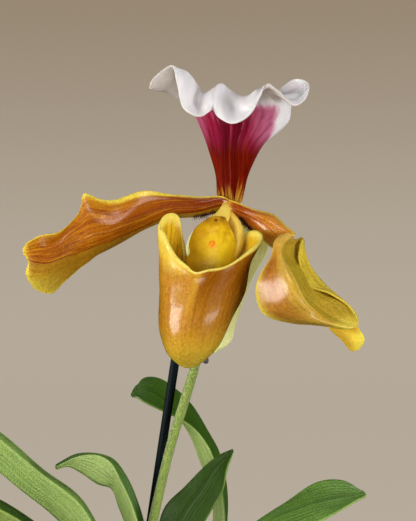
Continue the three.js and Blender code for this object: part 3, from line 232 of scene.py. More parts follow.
# Rows across each leaf: upper or near margin, keel, far margin. The foot is added in code.
LEAF_ROWS: dict[str, list[Row]] = {
    "leaf_left_curled": [
        [[-7.5, -4, 103.5], [-11, 0, 102], [-7, 4, 103.5]], [[-9.5, -5, 117], [-13, -1, 115.5], [-8, 4, 117]],
        [[-12.5, -6.5, 127], [-16.5, -2.5, 125.5], [-11, 3, 127.5]],
        [[-16, -8.5, 135], [-19, -4, 132], [-14.5, 1.5, 135.5]],
        [[-19.5, -9.5, 141], [-24, -6, 134], [-19, 0, 141.5]],
        [[-24, -10, 143.5], [-29, -7, 137.5], [-24.5, -1, 143.5]],
        [[-31, -9.5, 143], [-34, -8, 140], [-31.5, -3, 143.5]],
        [[-38.5, -9, 139.5], [-38.5, -8, 139], [-38.5, -6.5, 140]],
    ],
    "leaf_middle": [
        [[-4, -4, 98.5], [-1.5, 2, 99], [-6, 6, 100.5]], [[2.5, -2, 108], [2, 5, 111], [-4.5, 8.5, 112.5]],
        [[10, 2.5, 116], [5, 10, 121], [-1.5, 12.5, 123.5]],
        [[15.5, 7.5, 124], [10.5, 14, 128.5], [5.5, 16, 130.5]],
        [[19, 10.5, 130], [15, 16, 135.5], [12.5, 18, 137.5]],
        [[20.5, 13.5, 137.5], [19.5, 17, 140], [17.5, 18, 141.5]],
        [[22.5, 17.5, 142.5], [22.5, 18, 143.5], [22, 18, 143.5]],
    ],
    "leaf_left_long": [
        [[-13.5, -9, 98], [-18.5, -3, 95.5], [-13.5, 4, 97.5]],
        [[-21, -12, 112], [-28, -5, 109.5], [-21.5, 3, 112]],
        [[-30, -15, 127.5], [-38.5, -7, 122], [-30.5, 2, 128]],
        [[-43, -17, 138], [-50, -8, 132], [-43.5, 1.5, 138]],
        [[-56, -18, 149], [-63, -9, 143], [-56.5, 1, 149.5]],
        [[-69, -18, 158.5], [-74.5, -10, 152], [-69.5, 0, 158.5]],
        [[-83, -16, 164.5], [-86, -11, 159], [-84, -3, 165]],
        [[-97, -12, 163.5], [-97.5, -11, 163], [-97.5, -9, 164]],
    ],
    "leaf_right": [
        [[-1, -9.5, 93.5], [2.5, 0, 90], [-2, 9, 92.5]], [[12, -13, 100.5], [14, -2, 100], [10, 8, 103.5]],
        [[24.5, -17, 108], [25, -4, 110], [20.5, 8, 111.5]],
        [[37, -20, 115.5], [35, -6, 120.5], [30.5, 7, 119]],
        [[48, -20.5, 120], [45, -8, 125], [40.5, 5, 126]], [[57.5, -19, 125], [56, -9, 128], [51.5, 3, 133]],
        [[64.5, -14, 128.5], [63, -9, 129], [60, -1, 134]],
        [[67.5, -10, 129.5], [67.5, -8.5, 130], [67, -7, 130.5]],
    ],
    "leaf_left_low": [
        [[-18.5, -12, 93], [-23.5, -4, 88], [-18.5, 6, 92]],
        [[-30.5, -15, 106.5], [-35.5, -7, 100.5], [-30.5, 4, 106]],
        [[-44.5, -18, 118.5], [-50, -9, 111.5], [-45, 3, 118.5]],
        [[-57, -20, 126.5], [-62, -10, 119.5], [-58, 2, 127]],
        [[-71.5, -20, 132.5], [-75, -11, 126], [-72.5, 0, 133]],
        [[-85, -18, 135], [-87, -12, 130.5], [-86, -5, 135.5]],
        [[-98.5, -14, 134], [-98.5, -13, 133.5], [-98.5, -11, 134]],
    ],
    "leaf_front": [
        [[-2, -14.5, 88.5], [5, -4, 84.5], [3, 8, 86.5]], [[6, -25, 95], [15, -13, 90.5], [18, -2, 94.5]],
        [[18, -37, 100.5], [28, -25, 96], [35, -13, 101.5]],
        [[33, -50, 99.5], [43, -38, 95], [51, -27, 100.5]], [[50, -60, 93], [58, -50, 89.5], [65, -40, 94]],
        [[66, -66, 84], [72, -59, 81.5], [76, -52, 85]], [[84, -68, 72], [85, -67, 71], [86, -65.5, 72]],
    ],
    "leaf_back_tall": [
        [[15.5, 23.5, 100.5], [12.5, 30, 98], [16, 36, 99]],
        [[19.5, 22, 114.5], [15.5, 30, 113], [20, 37, 113]],
        [[18.5, 21, 129], [15.5, 30, 127.5], [20.5, 38, 127.5]],
        [[15.5, 21, 141.5], [12, 29, 137.5], [18, 38, 140.5]],
        [[10.5, 20, 149], [8, 28, 147.5], [13.5, 37, 149]], [[4, 19, 154], [3.5, 27, 154], [8, 35, 158]],
        [[-2.5, 19, 157], [-1, 26, 159], [2, 33, 164]], [[-8, 19, 159.5], [-6.5, 25, 163], [-4, 30, 168]],
        [[-11.5, 20, 161.5], [-11, 24, 163.5], [-9.5, 27, 168]],
        [[-13, 22.5, 161.5], [-13.5, 24, 162], [-12.5, 25, 163.5]],
    ],
    "leaf_back_right": [
        [[23, 23, 99], [28, 33, 95], [23, 42, 100]], [[38, 27, 107.5], [43, 37, 103], [38, 48, 108.5]],
        [[56, 32, 110], [60, 43, 105.5], [55, 53, 110.5]], [[74, 38, 105.5], [77, 48, 101.5], [73, 57, 106]],
        [[89, 46, 97], [91, 53, 94], [88, 59, 97.5]], [[101, 56, 86], [102, 57, 85], [101, 58.5, 86]],
    ],
    "leaf_back_young": [
        [[14.6, 28.4, 93], [16.2, 30, 92.5], [14.6, 31.6, 93]],
        [[16.4, 28.8, 102], [17.4, 30, 101.5], [16.4, 31.2, 102]],
        [[18.6, 29.7, 109.5], [18.8, 30, 109.5], [18.6, 30.3, 109.5]],
    ],
    "leaf_back_left": [
        [[-1, 27, 95], [-6, 37, 91], [1, 46, 96]], [[-15, 32, 103], [-19, 43, 99], [-12, 53, 104]],
        [[-30, 40, 105], [-34, 50, 101], [-28, 60, 106]], [[-47, 48, 101], [-50, 57, 98], [-45, 66, 102]],
        [[-63, 57, 92], [-65, 63, 89.5], [-61, 69, 93]], [[-77, 67, 82], [-78, 68.3, 81], [-77, 69.5, 82]],
    ],
}


# ---------------------------------------------------------------- smooth lines and surfaces


class Spacing(Enum):
    """How a smooth line's tangents weigh its points: the power of the squared gaps."""

    UNIFORM = 0.0
    CENTRIPETAL = 0.25


def line_at(points: Row, places: np.ndarray, closed: bool = False, spacing: Spacing = Spacing.UNIFORM,
            ) -> np.ndarray:
    """Points on a smooth line through the given ones.

    Args:
        points: The points, or rows of them, along the first axis.
        places: Where to sample, from 0 at the first point to 1 at the last.
        closed: Whether the line runs back to its first point.
        spacing: How the tangents weigh the points.

    Returns:
        The sampled points, along the first axis.
    """
    points = np.asarray(points, float)
    before, after = 2 * points[:1] - points[1:2], 2 * points[-1:] - points[-2:-1]
    if closed:
        before, after = points[-1:], points[:2]
    padded = np.concatenate([before, points, after])
    spans = len(padded) - 3
    along = np.asarray(places, float) * spans
    index = np.clip(along.astype(int), 0, spans - 1)
    t = (along - index).reshape(-1, *([1] * (points.ndim - 1)))
    p0, p1, p2, p3 = (padded[index + k] for k in range(4))

    def gap(a: np.ndarray, b: np.ndarray) -> np.ndarray:
        """The weight of the gap between two points."""
        return np.maximum(np.sum((b - a) ** 2, axis=-1, keepdims=True), 1e-8) ** spacing.value

    d0, d1, d2 = gap(p0, p1), gap(p1, p2), gap(p2, p3)
    m1 = ((p1 - p0) / d0 - (p2 - p0) / (d0 + d1) + (p2 - p1) / d1) * d1
    m2 = ((p2 - p1) / d1 - (p3 - p1) / (d1 + d2) + (p3 - p2) / d2) * d1
    t2, t3 = t * t, t * t * t
    return (2 * t3 - 3 * t2 + 1) * p1 + (t3 - 2 * t2 + t) * m1 + (3 * t2 - 2 * t3) * p2 + (t3 - t2) * m2


def loft(rows: Sequence[Row], across: np.ndarray, along: np.ndarray, closed: bool = False) -> np.ndarray:
    """A grid of points, along and then across, on a smooth surface through rows or rings of points."""
    return line_at(np.stack([line_at(row, across, closed) for row in rows]), along)


def crowded(count: int, ends: float = 0.75) -> np.ndarray:
    """Places from 0 to 1 that lie closer together near both ends."""
    even = np.linspace(0, 1, count)
    return even * (1 - ends) + (0.5 - 0.5 * np.cos(np.pi * even)) * ends


def unit(vectors: np.ndarray) -> np.ndarray:
    """Vectors brought to a length of 1."""
    return vectors / np.maximum(np.linalg.norm(vectors, axis=-1, keepdims=True), 1e-9)


def surface_normals(grid: np.ndarray, closed: bool = False) -> np.ndarray:
    """Unit normals of a grid of points, whose columns may close to rings."""
    across = np.roll(grid, -1, axis=1) - np.roll(grid, 1, axis=1) if closed else np.gradient(grid, axis=1)
    return unit(np.cross(across, np.gradient(grid, axis=0)))


def smoothstep(value: np.ndarray, low: float, high: float) -> np.ndarray:
    """0 at low, 1 at high and smooth between them."""
    t = np.clip((value - low) / (high - low), 0, 1)
    return t * t * (3 - 2 * t)


class Ripples:
    """Repeatable smooth irregularity, as a sum of a few waves in random directions."""

    def __init__(self, seed: int, waves: int = 9) -> None:
        """Draws the waves.

        Args:
            seed: The seed of the draw.
            waves: How many waves are added.
        """
        draw = np.random.default_rng(seed)
        self.direction = draw.normal(size=(waves, 3))
        self.phase = draw.uniform(0, 2 * np.pi, waves)

    def at(self, points: np.ndarray, size: float) -> np.ndarray:
        """The irregularity, about -1 to 1, at points, with features of a given size."""
        turns = points @ self.direction.T * (2 * np.pi / size / 1.7) + self.phase
        return np.sin(turns).sum(-1) / math.sqrt(len(self.phase) * 2)

    def lift(self, grid: np.ndarray, height: float | np.ndarray, size: float, closed: bool = False,
             ) -> np.ndarray:
        """A grid of points moved along its normals by the irregularity, at a given height."""
        return grid + surface_normals(grid, closed) * (height * self.at(grid, size))[..., None]


# ---------------------------------------------------------------- meshes


def plain_mesh(name: str, vertices: np.ndarray, faces: list) -> bpy.types.Mesh:
    """A mesh without materials.

    Args:
        name: The mesh's name.
        vertices: Its corners in metres.
        faces: Its faces.

    Returns:
        The mesh.
    """
    mesh = bpy.data.meshes.new(name)
    mesh.from_pydata(vertices.tolist(), [], faces)
    return mesh


def placed(name: str, data: bpy.types.ID) -> bpy.types.Object:
    """Adds an object to the scene.

    Args:
        name: The object's name.
        data: What it shows: a mesh, a light or a camera.

    Returns:
        The object.
    """
    thing = bpy.data.objects.new(name, data)
    bpy.context.scene.collection.objects.link(thing)
    return thing


def new_piece(name: str, skin: Skin, finishes: Sequence[Finish], replaces: str = "",
              sides: Sequence[int] = (), smooth: bool = True) -> bpy.types.Object:
    """Makes an object that rides on the plant's body.

    Args:
        name: The piece's name.
        skin: Its corners in millimetres, its faces, and a pattern place for each face corner.
        finishes: The piece's finishes.
        replaces: The model's node that the piece stands for, if any.
        sides: The finish's number for each face, if it has more than one.
        smooth: Whether the faces are shaded smooth.

    Returns:
        The object.
    """
    vertices, faces, uv = skin
    mesh = plain_mesh(name, vertices * MM, faces)
    for finish in finishes:
        mesh.materials.append(finish.material())
    mesh.uv_layers.new(name="UVMap").data.foreach_set("uv", np.asarray(uv, np.float32).ravel())
    if len(finishes) > 1:
        mesh.polygons.foreach_set("material_index", np.asarray(sides, np.int32))
    mesh.polygons.foreach_set("use_smooth", [smooth] * len(mesh.polygons))
    mesh.validate()
    mesh.update()
    piece = placed(name, mesh)
    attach(piece, BODY)
    if replaces:
        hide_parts(replaces)
    LOG.info("%s: %d faces", name, len(mesh.polygons))
    return piece


@dataclass
class SheetMesh:
    """A closed thin sheet over a grid of points, with pattern places u across and v along.

    The places across are the same for all rows, or given for each. The columns of a closed sheet are
    rings. Poles close its first row, outside and inside.
    """

    grid: np.ndarray
    half_thickness: np.ndarray
    u: np.ndarray
    v: np.ndarray
    closed: bool = False
    poles: Sequence[np.ndarray] = ()
    faces: list[list[int]] = field(default_factory=list)
    uv: list[list[float]] = field(default_factory=list)
    sides: list[int] = field(default_factory=list)

    def _add(self, rows: Sequence, columns: Sequence, layers: Sequence[int], turn: int = 1, side: int = 0,
             ) -> None:
        """Adds faces.

        Args:
            rows: The row of each of a face's corners, as numbers or arrays of them.
            columns: The column of each corner.
            layers: The layer of each corner, 0 outside and 1 inside.
            turn: 1, or -1 to turn the faces over.
            side: The faces' side, 0 outside and 1 inside.
        """
        tables = (np.stack(np.broadcast_arrays(*corners), -1) for corners in (rows, columns, layers))
        row, column, layer = np.broadcast_arrays(*tables)
        height, width = self.grid.shape[:2]
        number = row * width + column % width + layer * height * width
        self.faces += number[:, ::turn].tolist()
        self.uv += np.stack([self.u[row, column], self.v[row]], -1)[:, ::turn].reshape(-1, 2).tolist()
        self.sides += [side] * len(number)

    def piece(self, name: str, finishes: Sequence[Finish], slot: str, replaces: str = "") -> None:
        """Makes the sheet's object.

        Args:
            name: The piece's name.
            finishes: The outer side's finish, and the inner side's if it has its own.
            slot: Not used.
            replaces: The node that the piece stands for, if any.
        """
        rows, columns = self.grid.shape[:2]
        self.u = self.u * np.ones((rows, 1))
        size = rows * columns
        spans = columns - (not self.closed)
        i, j = (part.ravel() for part in np.mgrid[:rows - 1, :spans])
        down, ring = np.arange(rows - 1), np.arange(spans)
        for side, turn in enumerate((1, -1)):
            self._add((i, i, i + 1, i + 1), (j, j + 1, j + 1, j), (side,) * 4, turn, side)
        for row, turn in ((0, 1), (rows - 1, -1))[bool(self.poles):]:
            self._add((row,) * 4, (ring, ring + 1, ring + 1, ring), (1, 1, 0, 0), turn)
        for column, turn in () if self.closed else ((0, -1), (columns - 1, 1)):
            self._add((down, down + 1, down + 1, down), (column,) * 4, (1, 1, 0, 0), turn)
        offset = surface_normals(self.grid, self.closed) * self.half_thickness[..., None]
        vertices = [(self.grid + offset).reshape(-1, 3), (self.grid - offset).reshape(-1, 3)]
        for side, (pole, turn) in enumerate(zip(self.poles, (1, -1))):
            for first in range(spans):
                fan = [2 * size + side, (first + 1) % columns + side * size, first + side * size]
                low, high = self.u[0, first], self.u[0, first + 1]
                self.faces.append(fan[::turn])
                self.uv += [[low, 0], [high, self.v[0]], [low, self.v[0]]][::turn]
            self.sides += [side] * spans
            vertices.append(pole[None])
        skin = np.concatenate(vertices), self.faces, self.uv
        new_piece(name, skin, finishes, replaces, self.sides)


def margin_taper(places: np.ndarray, band: float, least: float) -> np.ndarray:
    """A share of full thickness that falls to the least one, in a round, at both ends."""
    depth = np.clip(np.minimum(places, 1 - places) / band, 0, 1)
    return least + (1 - least) * np.sqrt(1 - (1 - depth) ** 2)


def skinned_rings(rings: np.ndarray, first: Point, last: Point, along: np.ndarray | None = None) -> Skin:
    """A closed skin over rings of points that turn anticlockwise, seen from the last ring.

    Args:
        rings: The rings, from first to last.
        first: The point that closes the first ring.
        last: The point that closes the last ring.
        along: Each ring's pattern place, or evenly spaced places.

    Returns:
        Its corners, faces and pattern places: round it and along it.
    """
    steps, sides = rings.shape[:2]
    along = np.linspace(0, 1, steps) if along is None else along
    faces, uv = [], []
    for i in range(steps - 1):
        low, high = i * sides, (i + 1) * sides
        for a in range(sides):
            b = (a + 1) % sides
            faces.append((low + a, low + b, high + b, high + a))
            uv += [(a / sides, along[i]), ((a + 1) / sides, along[i]),
                   ((a + 1) / sides, along[i + 1]), (a / sides, along[i + 1])]
    count = steps * sides
    for pole, base, turn, place in ((count, 0, -1, 0.0), (count + 1, count - sides, 1, 1.0)):
        for a in range(sides):
            faces.append((pole, base + a, base + (a + 1) % sides)[::turn])
            uv += [(a / sides, place)] * 3
    return np.concatenate([rings.reshape(-1, 3), [first], [last]]), faces, np.array(uv)


def tube_mesh(path: np.ndarray, radius: Callable[[np.ndarray, np.ndarray], np.ndarray], sides: int) -> Skin:
    """A closed tube round a path.

    Args:
        path: The points of its axis.
        radius: The radius from the share of the length and the angle.
        sides: How many corners a ring has.

    Returns:
        Its corners, faces and pattern places: round it and along it.
    """
    tangent = unit(np.gradient(path, axis=0))
    side = np.cross(tangent[0], [0.0, 1.0, 0.02])
    first = np.empty_like(path)
    for i, direction in enumerate(tangent):
        first[i] = side = unit(side - direction * (side @ direction))
    second = np.cross(tangent, first)
    angle = np.linspace(0, 2 * np.pi, sides, endpoint=False)
    size = radius(np.linspace(0, 1, len(path))[:, None], angle[None]) * np.ones((len(path), sides))
    turn = np.cos(angle)[:, None] * first[:, None] + np.sin(angle)[:, None] * second[:, None]
    return skinned_rings(path[:, None] + size[..., None] * turn, path[0], path[-1])


def turned_rings(profile: np.ndarray, sides: int) -> np.ndarray:
    """Rings about +Z.

    Args:
        profile: Pairs of radius and height.
        sides: How many corners a ring has.

    Returns:
        The rings' points.
    """
    angle = np.linspace(0, 2 * np.pi, sides, endpoint=False)
    radius, height = profile[:, :1], profile[:, 1:] * np.ones(sides)
    return np.stack([radius * np.cos(angle), radius * np.sin(angle), height], -1)


def turned_mesh(profile: Row, sides: int) -> Skin:
    """A turned solid about +Z.

    Args:
        profile: Pairs of radius and height that start and end on the axis.
        sides: How many corners a ring has.

    Returns:
        Its corners, faces and pattern places: round it and along it.
    """
    profile = np.array(profile, float)
    steps = np.diff(profile[1:-1], axis=0, prepend=profile[1:2])
    along = np.cumsum(np.linalg.norm(steps, axis=1))
    ends = ([0, 0, profile[0, 1]], [0, 0, profile[-1, 1]])
    return skinned_rings(turned_rings(profile[1:-1], sides), *ends, along / max(along[-1], 1e-9))


def turned(points: np.ndarray, turns: Sequence[float]) -> np.ndarray:
    """Points turned about +X, then +Y, then +Z, by an angle each.

    Args:
        points: The points.
        turns: The three angles.

    Returns:
        The turned points.
    """
    points = points.copy()
    for axis, turn in enumerate(turns):
        first, second = (axis + 1) % 3, (axis + 2) % 3
        u, v = points[:, first].copy(), points[:, second].copy()
        points[:, first] = math.cos(turn) * u - math.sin(turn) * v
        points[:, second] = math.sin(turn) * u + math.cos(turn) * v
    return points


def round_profile(steps: int, bulge: float = 1.0) -> list[tuple[float, float]]:
    """The profile of a ball of radius 1, or of a fuller body where the bulge is below 1."""
    angles = np.linspace(-np.pi / 2, np.pi / 2, steps)[1:-1]
    return [(0, -1), *((math.cos(angle) ** bulge, math.sin(angle)) for angle in angles), (0, 1)]


def merged(parts: Sequence[Skin]) -> Skin:
    """Several skins as one.

    Args:
        parts: The skins.

    Returns:
        The skin of them all.
    """
    faces, base = [], 0
    for corners, part, _ in parts:
        faces += [tuple(index + base for index in face) for face in part]
        base += len(corners)
    return np.concatenate([part[0] for part in parts]), faces, np.concatenate([part[2] for part in parts])


# ---------------------------------------------------------------- shader nodes


def tone(red: int, green: int, blue: int) -> Colour:
    """A colour for a shader from its display values, 0 to 255."""
    shares = (red / 255, green / 255, blue / 255)
    return tuple(s / 12.92 if s <= 0.04045 else ((s + 0.055) / 1.055) ** 2.4 for s in shares)


def math_method(operation: str, swapped: bool = False) -> Callable[[Value, object], Value]:
    """An arithmetic method that adds a Math node.

    Args:
        operation: The node's operation.
        swapped: Whether the other number comes first.

    Returns:
        The method.
    """
    def method(value: Value, other: object) -> Value:
        """The node's result."""
        return value.desk.math(operation, *((other, value) if swapped else (value, other)))
    return method


class Value:
    """What a node gives over a surface; arithmetic on it adds nodes, and | takes the larger of two."""

    def __init__(self, desk: NodeDesk, socket: bpy.types.NodeSocket) -> None:
        """Takes the desk that further nodes go on, and the socket."""
        self.desk, self.socket = desk, socket

    __add__ = __radd__ = math_method("ADD")
    __mul__ = __rmul__ = math_method("MULTIPLY")
    __sub__, __rsub__ = math_method("SUBTRACT"), math_method("SUBTRACT", True)
    __truediv__ = math_method("DIVIDE")
    __or__ = math_method("MAXIMUM")

    def __abs__(self) -> Value:
        """Its size without its sign."""
        return self.desk.math("ABSOLUTE", self)

    def clamped(self) -> Value:
        """Itself, kept from 0 to 1 by its own node."""
        self.socket.node.use_clamp = True
        return self

    def smooth(self, low: float, high: float) -> Value:
        """A mask that runs smoothly from 0 to 1.

        Args:
            low: Where it is 0.
            high: Where it is 1, which may be below low.

        Returns:
            The mask.
        """
        ends = (0.0, 1.0) if low < high else (1.0, 0.0)
        return self.desk.value("ShaderNodeMapRange", {
            "Value": self, "From Min": min(low, high), "From Max": max(low, high),
            "To Min": ends[0], "To Max": ends[1],
        }, interpolation_type="SMOOTHSTEP")

    def blend(self, first: object, second: object) -> Value:
        """A blend of two numbers, the second where this is 1."""
        return self.desk.value("ShaderNodeMix", {0: self, 2: first, 3: second}, data_type="FLOAT")


class NodeDesk:
    """Short calls to lay out the nodes of one tree."""

    def __init__(self, tree: bpy.types.NodeTree) -> None:
        """Takes the tree that the nodes go into."""
        self.tree = tree

    def node(self, kind: str, inputs: dict | None = None, **settings: object) -> bpy.types.Node:
        """Adds a node.

        Args:
            kind: The node's type name.
            inputs: Numbers, colours or values by input name or number.
            settings: The node's own properties.

        Returns:
            The node.
        """
        node = self.tree.nodes.new(kind)
        for name, setting in settings.items():
            setattr(node, name, setting)
        self.feed(node, inputs or {})
        return node

    def feed(self, node: bpy.types.Node, inputs: dict) -> None:
        """Links a node's inputs to values, or sets their own numbers and colours.

        Args:
            node: The node.
            inputs: Numbers, colours or values by input name or number.
        """
        for name, value in inputs.items():
            socket = node.inputs[name]
            if isinstance(value, Value):
                self.tree.links.new(value.socket, socket)
            elif socket.type == "RGBA" and len(value) == 3:
                socket.default_value = (*value, 1.0)
            else:
                socket.default_value = value

    def value(self, kind: str, inputs: dict, output: int = 0, **settings: object) -> Value:
        """The value that a new node gives at one of its outputs."""
        return Value(self, self.node(kind, inputs, **settings).outputs[output])

    def math(self, operation: str, first: object, second: object = 0.5) -> Value:
        """The result of a Math node."""
        return self.value("ShaderNodeMath", {0: first, 1: second}, operation=operation)

    def stretch(self, vector: Value, scale: Point) -> Value:
        """A vector scaled along each axis."""
        return self.value("ShaderNodeMapping", {"Vector": vector, "Scale": scale})

    def noise(self, vector: Value, scale: object, detail: float = 3.0, roughness: float = 0.55) -> Value:
        """Noise from 0 to 1."""
        inputs = {"Vector": vector, "Scale": scale, "Detail": detail, "Roughness": roughness}
        return self.value("ShaderNodeTexNoise", inputs)

    def mix(self, mask: Value, ground: object, ink: object, blend_type: str = "MIX") -> Value:
        """A ground colour with another one over it, by a mask."""
        inputs = {0: mask, 6: ground, 7: ink}
        return self.value("ShaderNodeMix", inputs, 2, data_type="RGBA", blend_type=blend_type)

    def layers(self, ground: object, *coats: tuple[Value, object]) -> Value:
        """A ground colour with others over it in turn.

        Args:
            ground: The ground colour.
            coats: The mask and the colour of each further layer.

        Returns:
            The colour.
        """
        for mask, ink in coats:
            ground = self.mix(mask, ground, ink)
        return ground

    def curve(self, place: Value, stops: Stops) -> Value:
        """A number that follows stops, straight between them.

        Args:
            place: The place to read it at, from 0 to 1.
            stops: Pairs of place and number.

        Returns:
            The number.
        """
        node = self.node("ShaderNodeValToRGB", {0: place})
        ramp = node.color_ramp
        while len(ramp.elements) < len(stops):
            ramp.elements.new(0.5)
        for element, (position, number) in zip(ramp.elements, stops):
            element.position = position
            element.color = (number, number, number, 1.0)
        return Value(self, node.outputs[0])

    def split(self, vector: Value) -> tuple[Value, ...]:
        """The three numbers of a vector."""
        outputs = self.node("ShaderNodeSeparateXYZ", {0: vector}).outputs
        return tuple(Value(self, socket) for socket in outputs)

    def group(self, tree: bpy.types.NodeTree, **inputs: object) -> tuple[Value, ...]:
        """Places a node group.

        Args:
            tree: The group's tree.
            inputs: Its inputs by name.

        Returns:
            What it gives, in the order of its outputs.
        """
        node = self.node("ShaderNodeGroup", node_tree=tree)
        self.feed(node, inputs)
        return tuple(Value(self, socket) for socket in node.outputs)


class Group(NodeDesk):
    """A shader node group under construction, with its inputs as values by name."""

    def __init__(self, name: str, **inputs: float | None) -> None:
        """Starts the group.

        Args:
            name: The group's name.
            inputs: Each input's own number; one without a number takes a vector.
        """
        super().__init__(bpy.data.node_groups.new(name, "ShaderNodeTree"))
        for label, number in inputs.items():
            kind = "NodeSocketVector" if number is None else "NodeSocketFloat"
            socket = self.tree.interface.new_socket(label, in_out="INPUT", socket_type=kind)
            if number is not None:
                socket.default_value = number
        sockets = self.node("NodeGroupInput").outputs
        self.inside = {socket.name: Value(self, socket) for socket in sockets if socket.name}

    def give(self, **outputs: Value) -> bpy.types.NodeTree:
        """Gives the group its outputs.

        Args:
            outputs: Each output's value.

        Returns:
            The group's tree.
        """
        for label in outputs:
            self.tree.interface.new_socket(label, in_out="OUTPUT", socket_type="NodeSocketFloat")
        self.node("NodeGroupOutput", outputs)
        return self.tree


class Effects:
    """The node groups that several finishes share."""

    def __init__(self) -> None:
        """Builds each group once."""
        self.veins = self._veins()
        self.skin = self._skin()
        self.patches = self._patches()
        self.margin = self._margin()

    @staticmethod
    def _veins() -> bpy.types.NodeTree:
        """Fine lines and streaks that run the length of a sheet.

        Returns:
            The group's tree.
        """
        desk = Group("Lengthwise veins", Place=None, Count=12.0, Wander=0.6, Width=0.5)
        place, count, wander, width = desk.inside.values()
        across, along, _ = desk.split(place)
        drift = desk.noise(desk.stretch(place, (2.0, 1.6, 1.0)), 1.0, 2.0)
        turns = across * count + (drift - 0.5) * wander
        line = (1.0 - abs(desk.math("FRACT", turns) - 0.5) * 2.0 / width).clamped()
        dense = desk.value("ShaderNodeCombineXYZ", {0: across * (count * 1.3), 1: along * 5.0})
        streaks = desk.noise(dense, 1.0, 6.0, 0.68)
        return desk.give(Veins=(line * (0.25 + streaks * 1.1)).clamped(), Streaks=streaks)

    @staticmethod
    def _skin() -> bpy.types.NodeTree:
        """The fine cells of a petal's or a leaf's skin, as a height.

        Returns:
            The group's tree.
        """
        desk = Group("Skin cells", Where=None, Scale=2500.0)
        where, scale = desk.inside.values()
        cells = desk.value("ShaderNodeTexVoronoi", {"Vector": where, "Scale": scale})
        return desk.give(Height=cells * 0.5 + desk.noise(where, scale * 0.3))

    @staticmethod
    def _patches() -> bpy.types.NodeTree:
        """Soft uneven patches, from 0 to 1.

        Returns:
            The group's tree.
        """
        desk = Group("Soft patches", Where=None, Scale=80.0, Low=0.38, High=0.64)
        where, scale, low, high = desk.inside.values()
        return desk.give(Patches=((desk.noise(where, scale, 4.0, 0.6) - low) / (high - low)).clamped())

    @staticmethod
    def _margin() -> bpy.types.NodeTree:
        """How far a place lies from the margins, and how near to the midrib.

        Returns:
            The group's tree.
        """
        desk = Group("Margin and midrib", Place=None, Width=0.04)
        place, width = desk.inside.values()
        off = abs(desk.split(place)[0] - 0.5)
        return desk.give(Depth=1.0 - off * 2.0, Midrib=(1.0 - off / width).clamped())


@cache
def effects() -> Effects:
    """The shared node groups, built at their first use."""
    return Effects()


class Coat(NodeDesk):
    """A material under construction, with its shader and its pattern places."""

    def __init__(self, name: str, roughness: float = 0.4, shader_values: dict[str, object] | None = None,
                 ) -> None:
        """Makes the material with a plain shader and its coordinate nodes.

        Args:
            name: The material's name.
            roughness: The shader's roughness.
            shader_values: Other inputs of the shader that are the same all over.
        """
        self.material = bpy.data.materials.new(name)
        self.material.use_nodes = True
        super().__init__(self.material.node_tree)
        self.shader = self.tree.nodes["Principled BSDF"]
        self.feed(self.shader, {"Roughness": roughness} | (shader_values or {}))
        coordinates = self.node("ShaderNodeTexCoord").outputs
        self.place, self.where = Value(self, coordinates["UV"]), Value(self, coordinates["Object"])
        self.across, self.along, _ = self.split(self.place)

    def veins(self, count: float, wander: float = 0.6, width: float = 0.5) -> tuple[Value, ...]:
        """The lengthwise veins and streaks at this coat's own numbers."""
        return self.group(effects().veins, Place=self.place, Count=count, Wander=wander, Width=width)

    def patches(self, scale: float, low: float = 0.38, high: float = 0.64) -> Value:
        """Soft patches at this coat's own numbers."""
        return self.group(effects().patches, Where=self.where, Scale=scale, Low=low, High=high)[0]

    def margin(self, midrib: float = 0.04) -> tuple[Value, ...]:
        """The depth from the margins and the midrib's mask."""
        return self.group(effects().margin, Place=self.place, Width=midrib)

    def spot(self, centre: Point, inner: float, outer: float) -> Value:
        """A soft round mask about a point of the model, in millimetres.

        Args:
            centre: The point.
            inner: The radius within which the mask is 1.
            outer: The radius beyond which it is 0.

        Returns:
            The mask.
        """
        ends = {0: self.where, 1: [float(number) * MM for number in centre]}
        far = self.value("ShaderNodeVectorMath", ends, 1, operation="DISTANCE")
        return far.smooth(outer * MM, inner * MM)

    def finish(self, colour: Value, roughness: Value | None, height: Value, depth: float = 0.0002,
               cells: float = 0.0, cell_scale: float = 2500.0, mottle: float = 0.0) -> bpy.types.Material:
        """Feeds the shader.

        Args:
            colour: The base colour.
            roughness: A varying roughness, if it has one.
            height: Relief of its own, from 0 to 1.
            depth: The relief's height in metres.
            cells: The height in metres of the skin's fine cells.
            cell_scale: How many cells lie on a metre.
            mottle: How strongly fine specks darken the colour, from 0 to 1.

        Returns:
            The material.
        """
        if mottle:
            specks = self.patches(1100, 0.44, 0.6) * mottle
            colour = self.mix(specks, colour, (0.52, 0.42, 0.34), "MULTIPLY")
        relief = {"Height": height, "Distance": depth}
        if cells:
            skin = self.group(effects().skin, Where=self.where, Scale=cell_scale)[0]
            relief["Normal"] = self.value("ShaderNodeBump", {"Height": skin, "Distance": cells})
        self.feed(self.shader, {"Base Color": colour, "Normal": self.value("ShaderNodeBump", relief)})
        if roughness is not None:
            self.feed(self.shader, {"Roughness": roughness})
        return self.material


# ---------------------------------------------------------------- finishes


WARM = (1.0, 0.78, 0.4, 1.0)


def tissue(weight: float, scale: float, green: float, blue: float, **others: float) -> dict[str, object]:
    """A shader's numbers for light that passes into tissue.

    Args:
        weight: How much of the light goes in.
        scale: How far it goes, in metres.
        green: How far green light goes, as a share of red.
        blue: How far blue light goes.
        others: The gloss of its coat, its coat's roughness and its specular level, where it has them.

    Returns:
        The numbers by input name.
    """
    names = {"coat": "Coat Weight", "coat_roughness": "Coat Roughness", "specular": "Specular IOR Level"}
    return {
        "Subsurface Weight": weight, "Subsurface Scale": scale, "Subsurface Radius": (1.0, green, blue),
    } | {names[name]: number for name, number in others.items()}


class Finish:
    """A look that makes its own material."""

    def material(self) -> bpy.types.Material:
        """The material, made anew at each call."""
        raise NotImplementedError


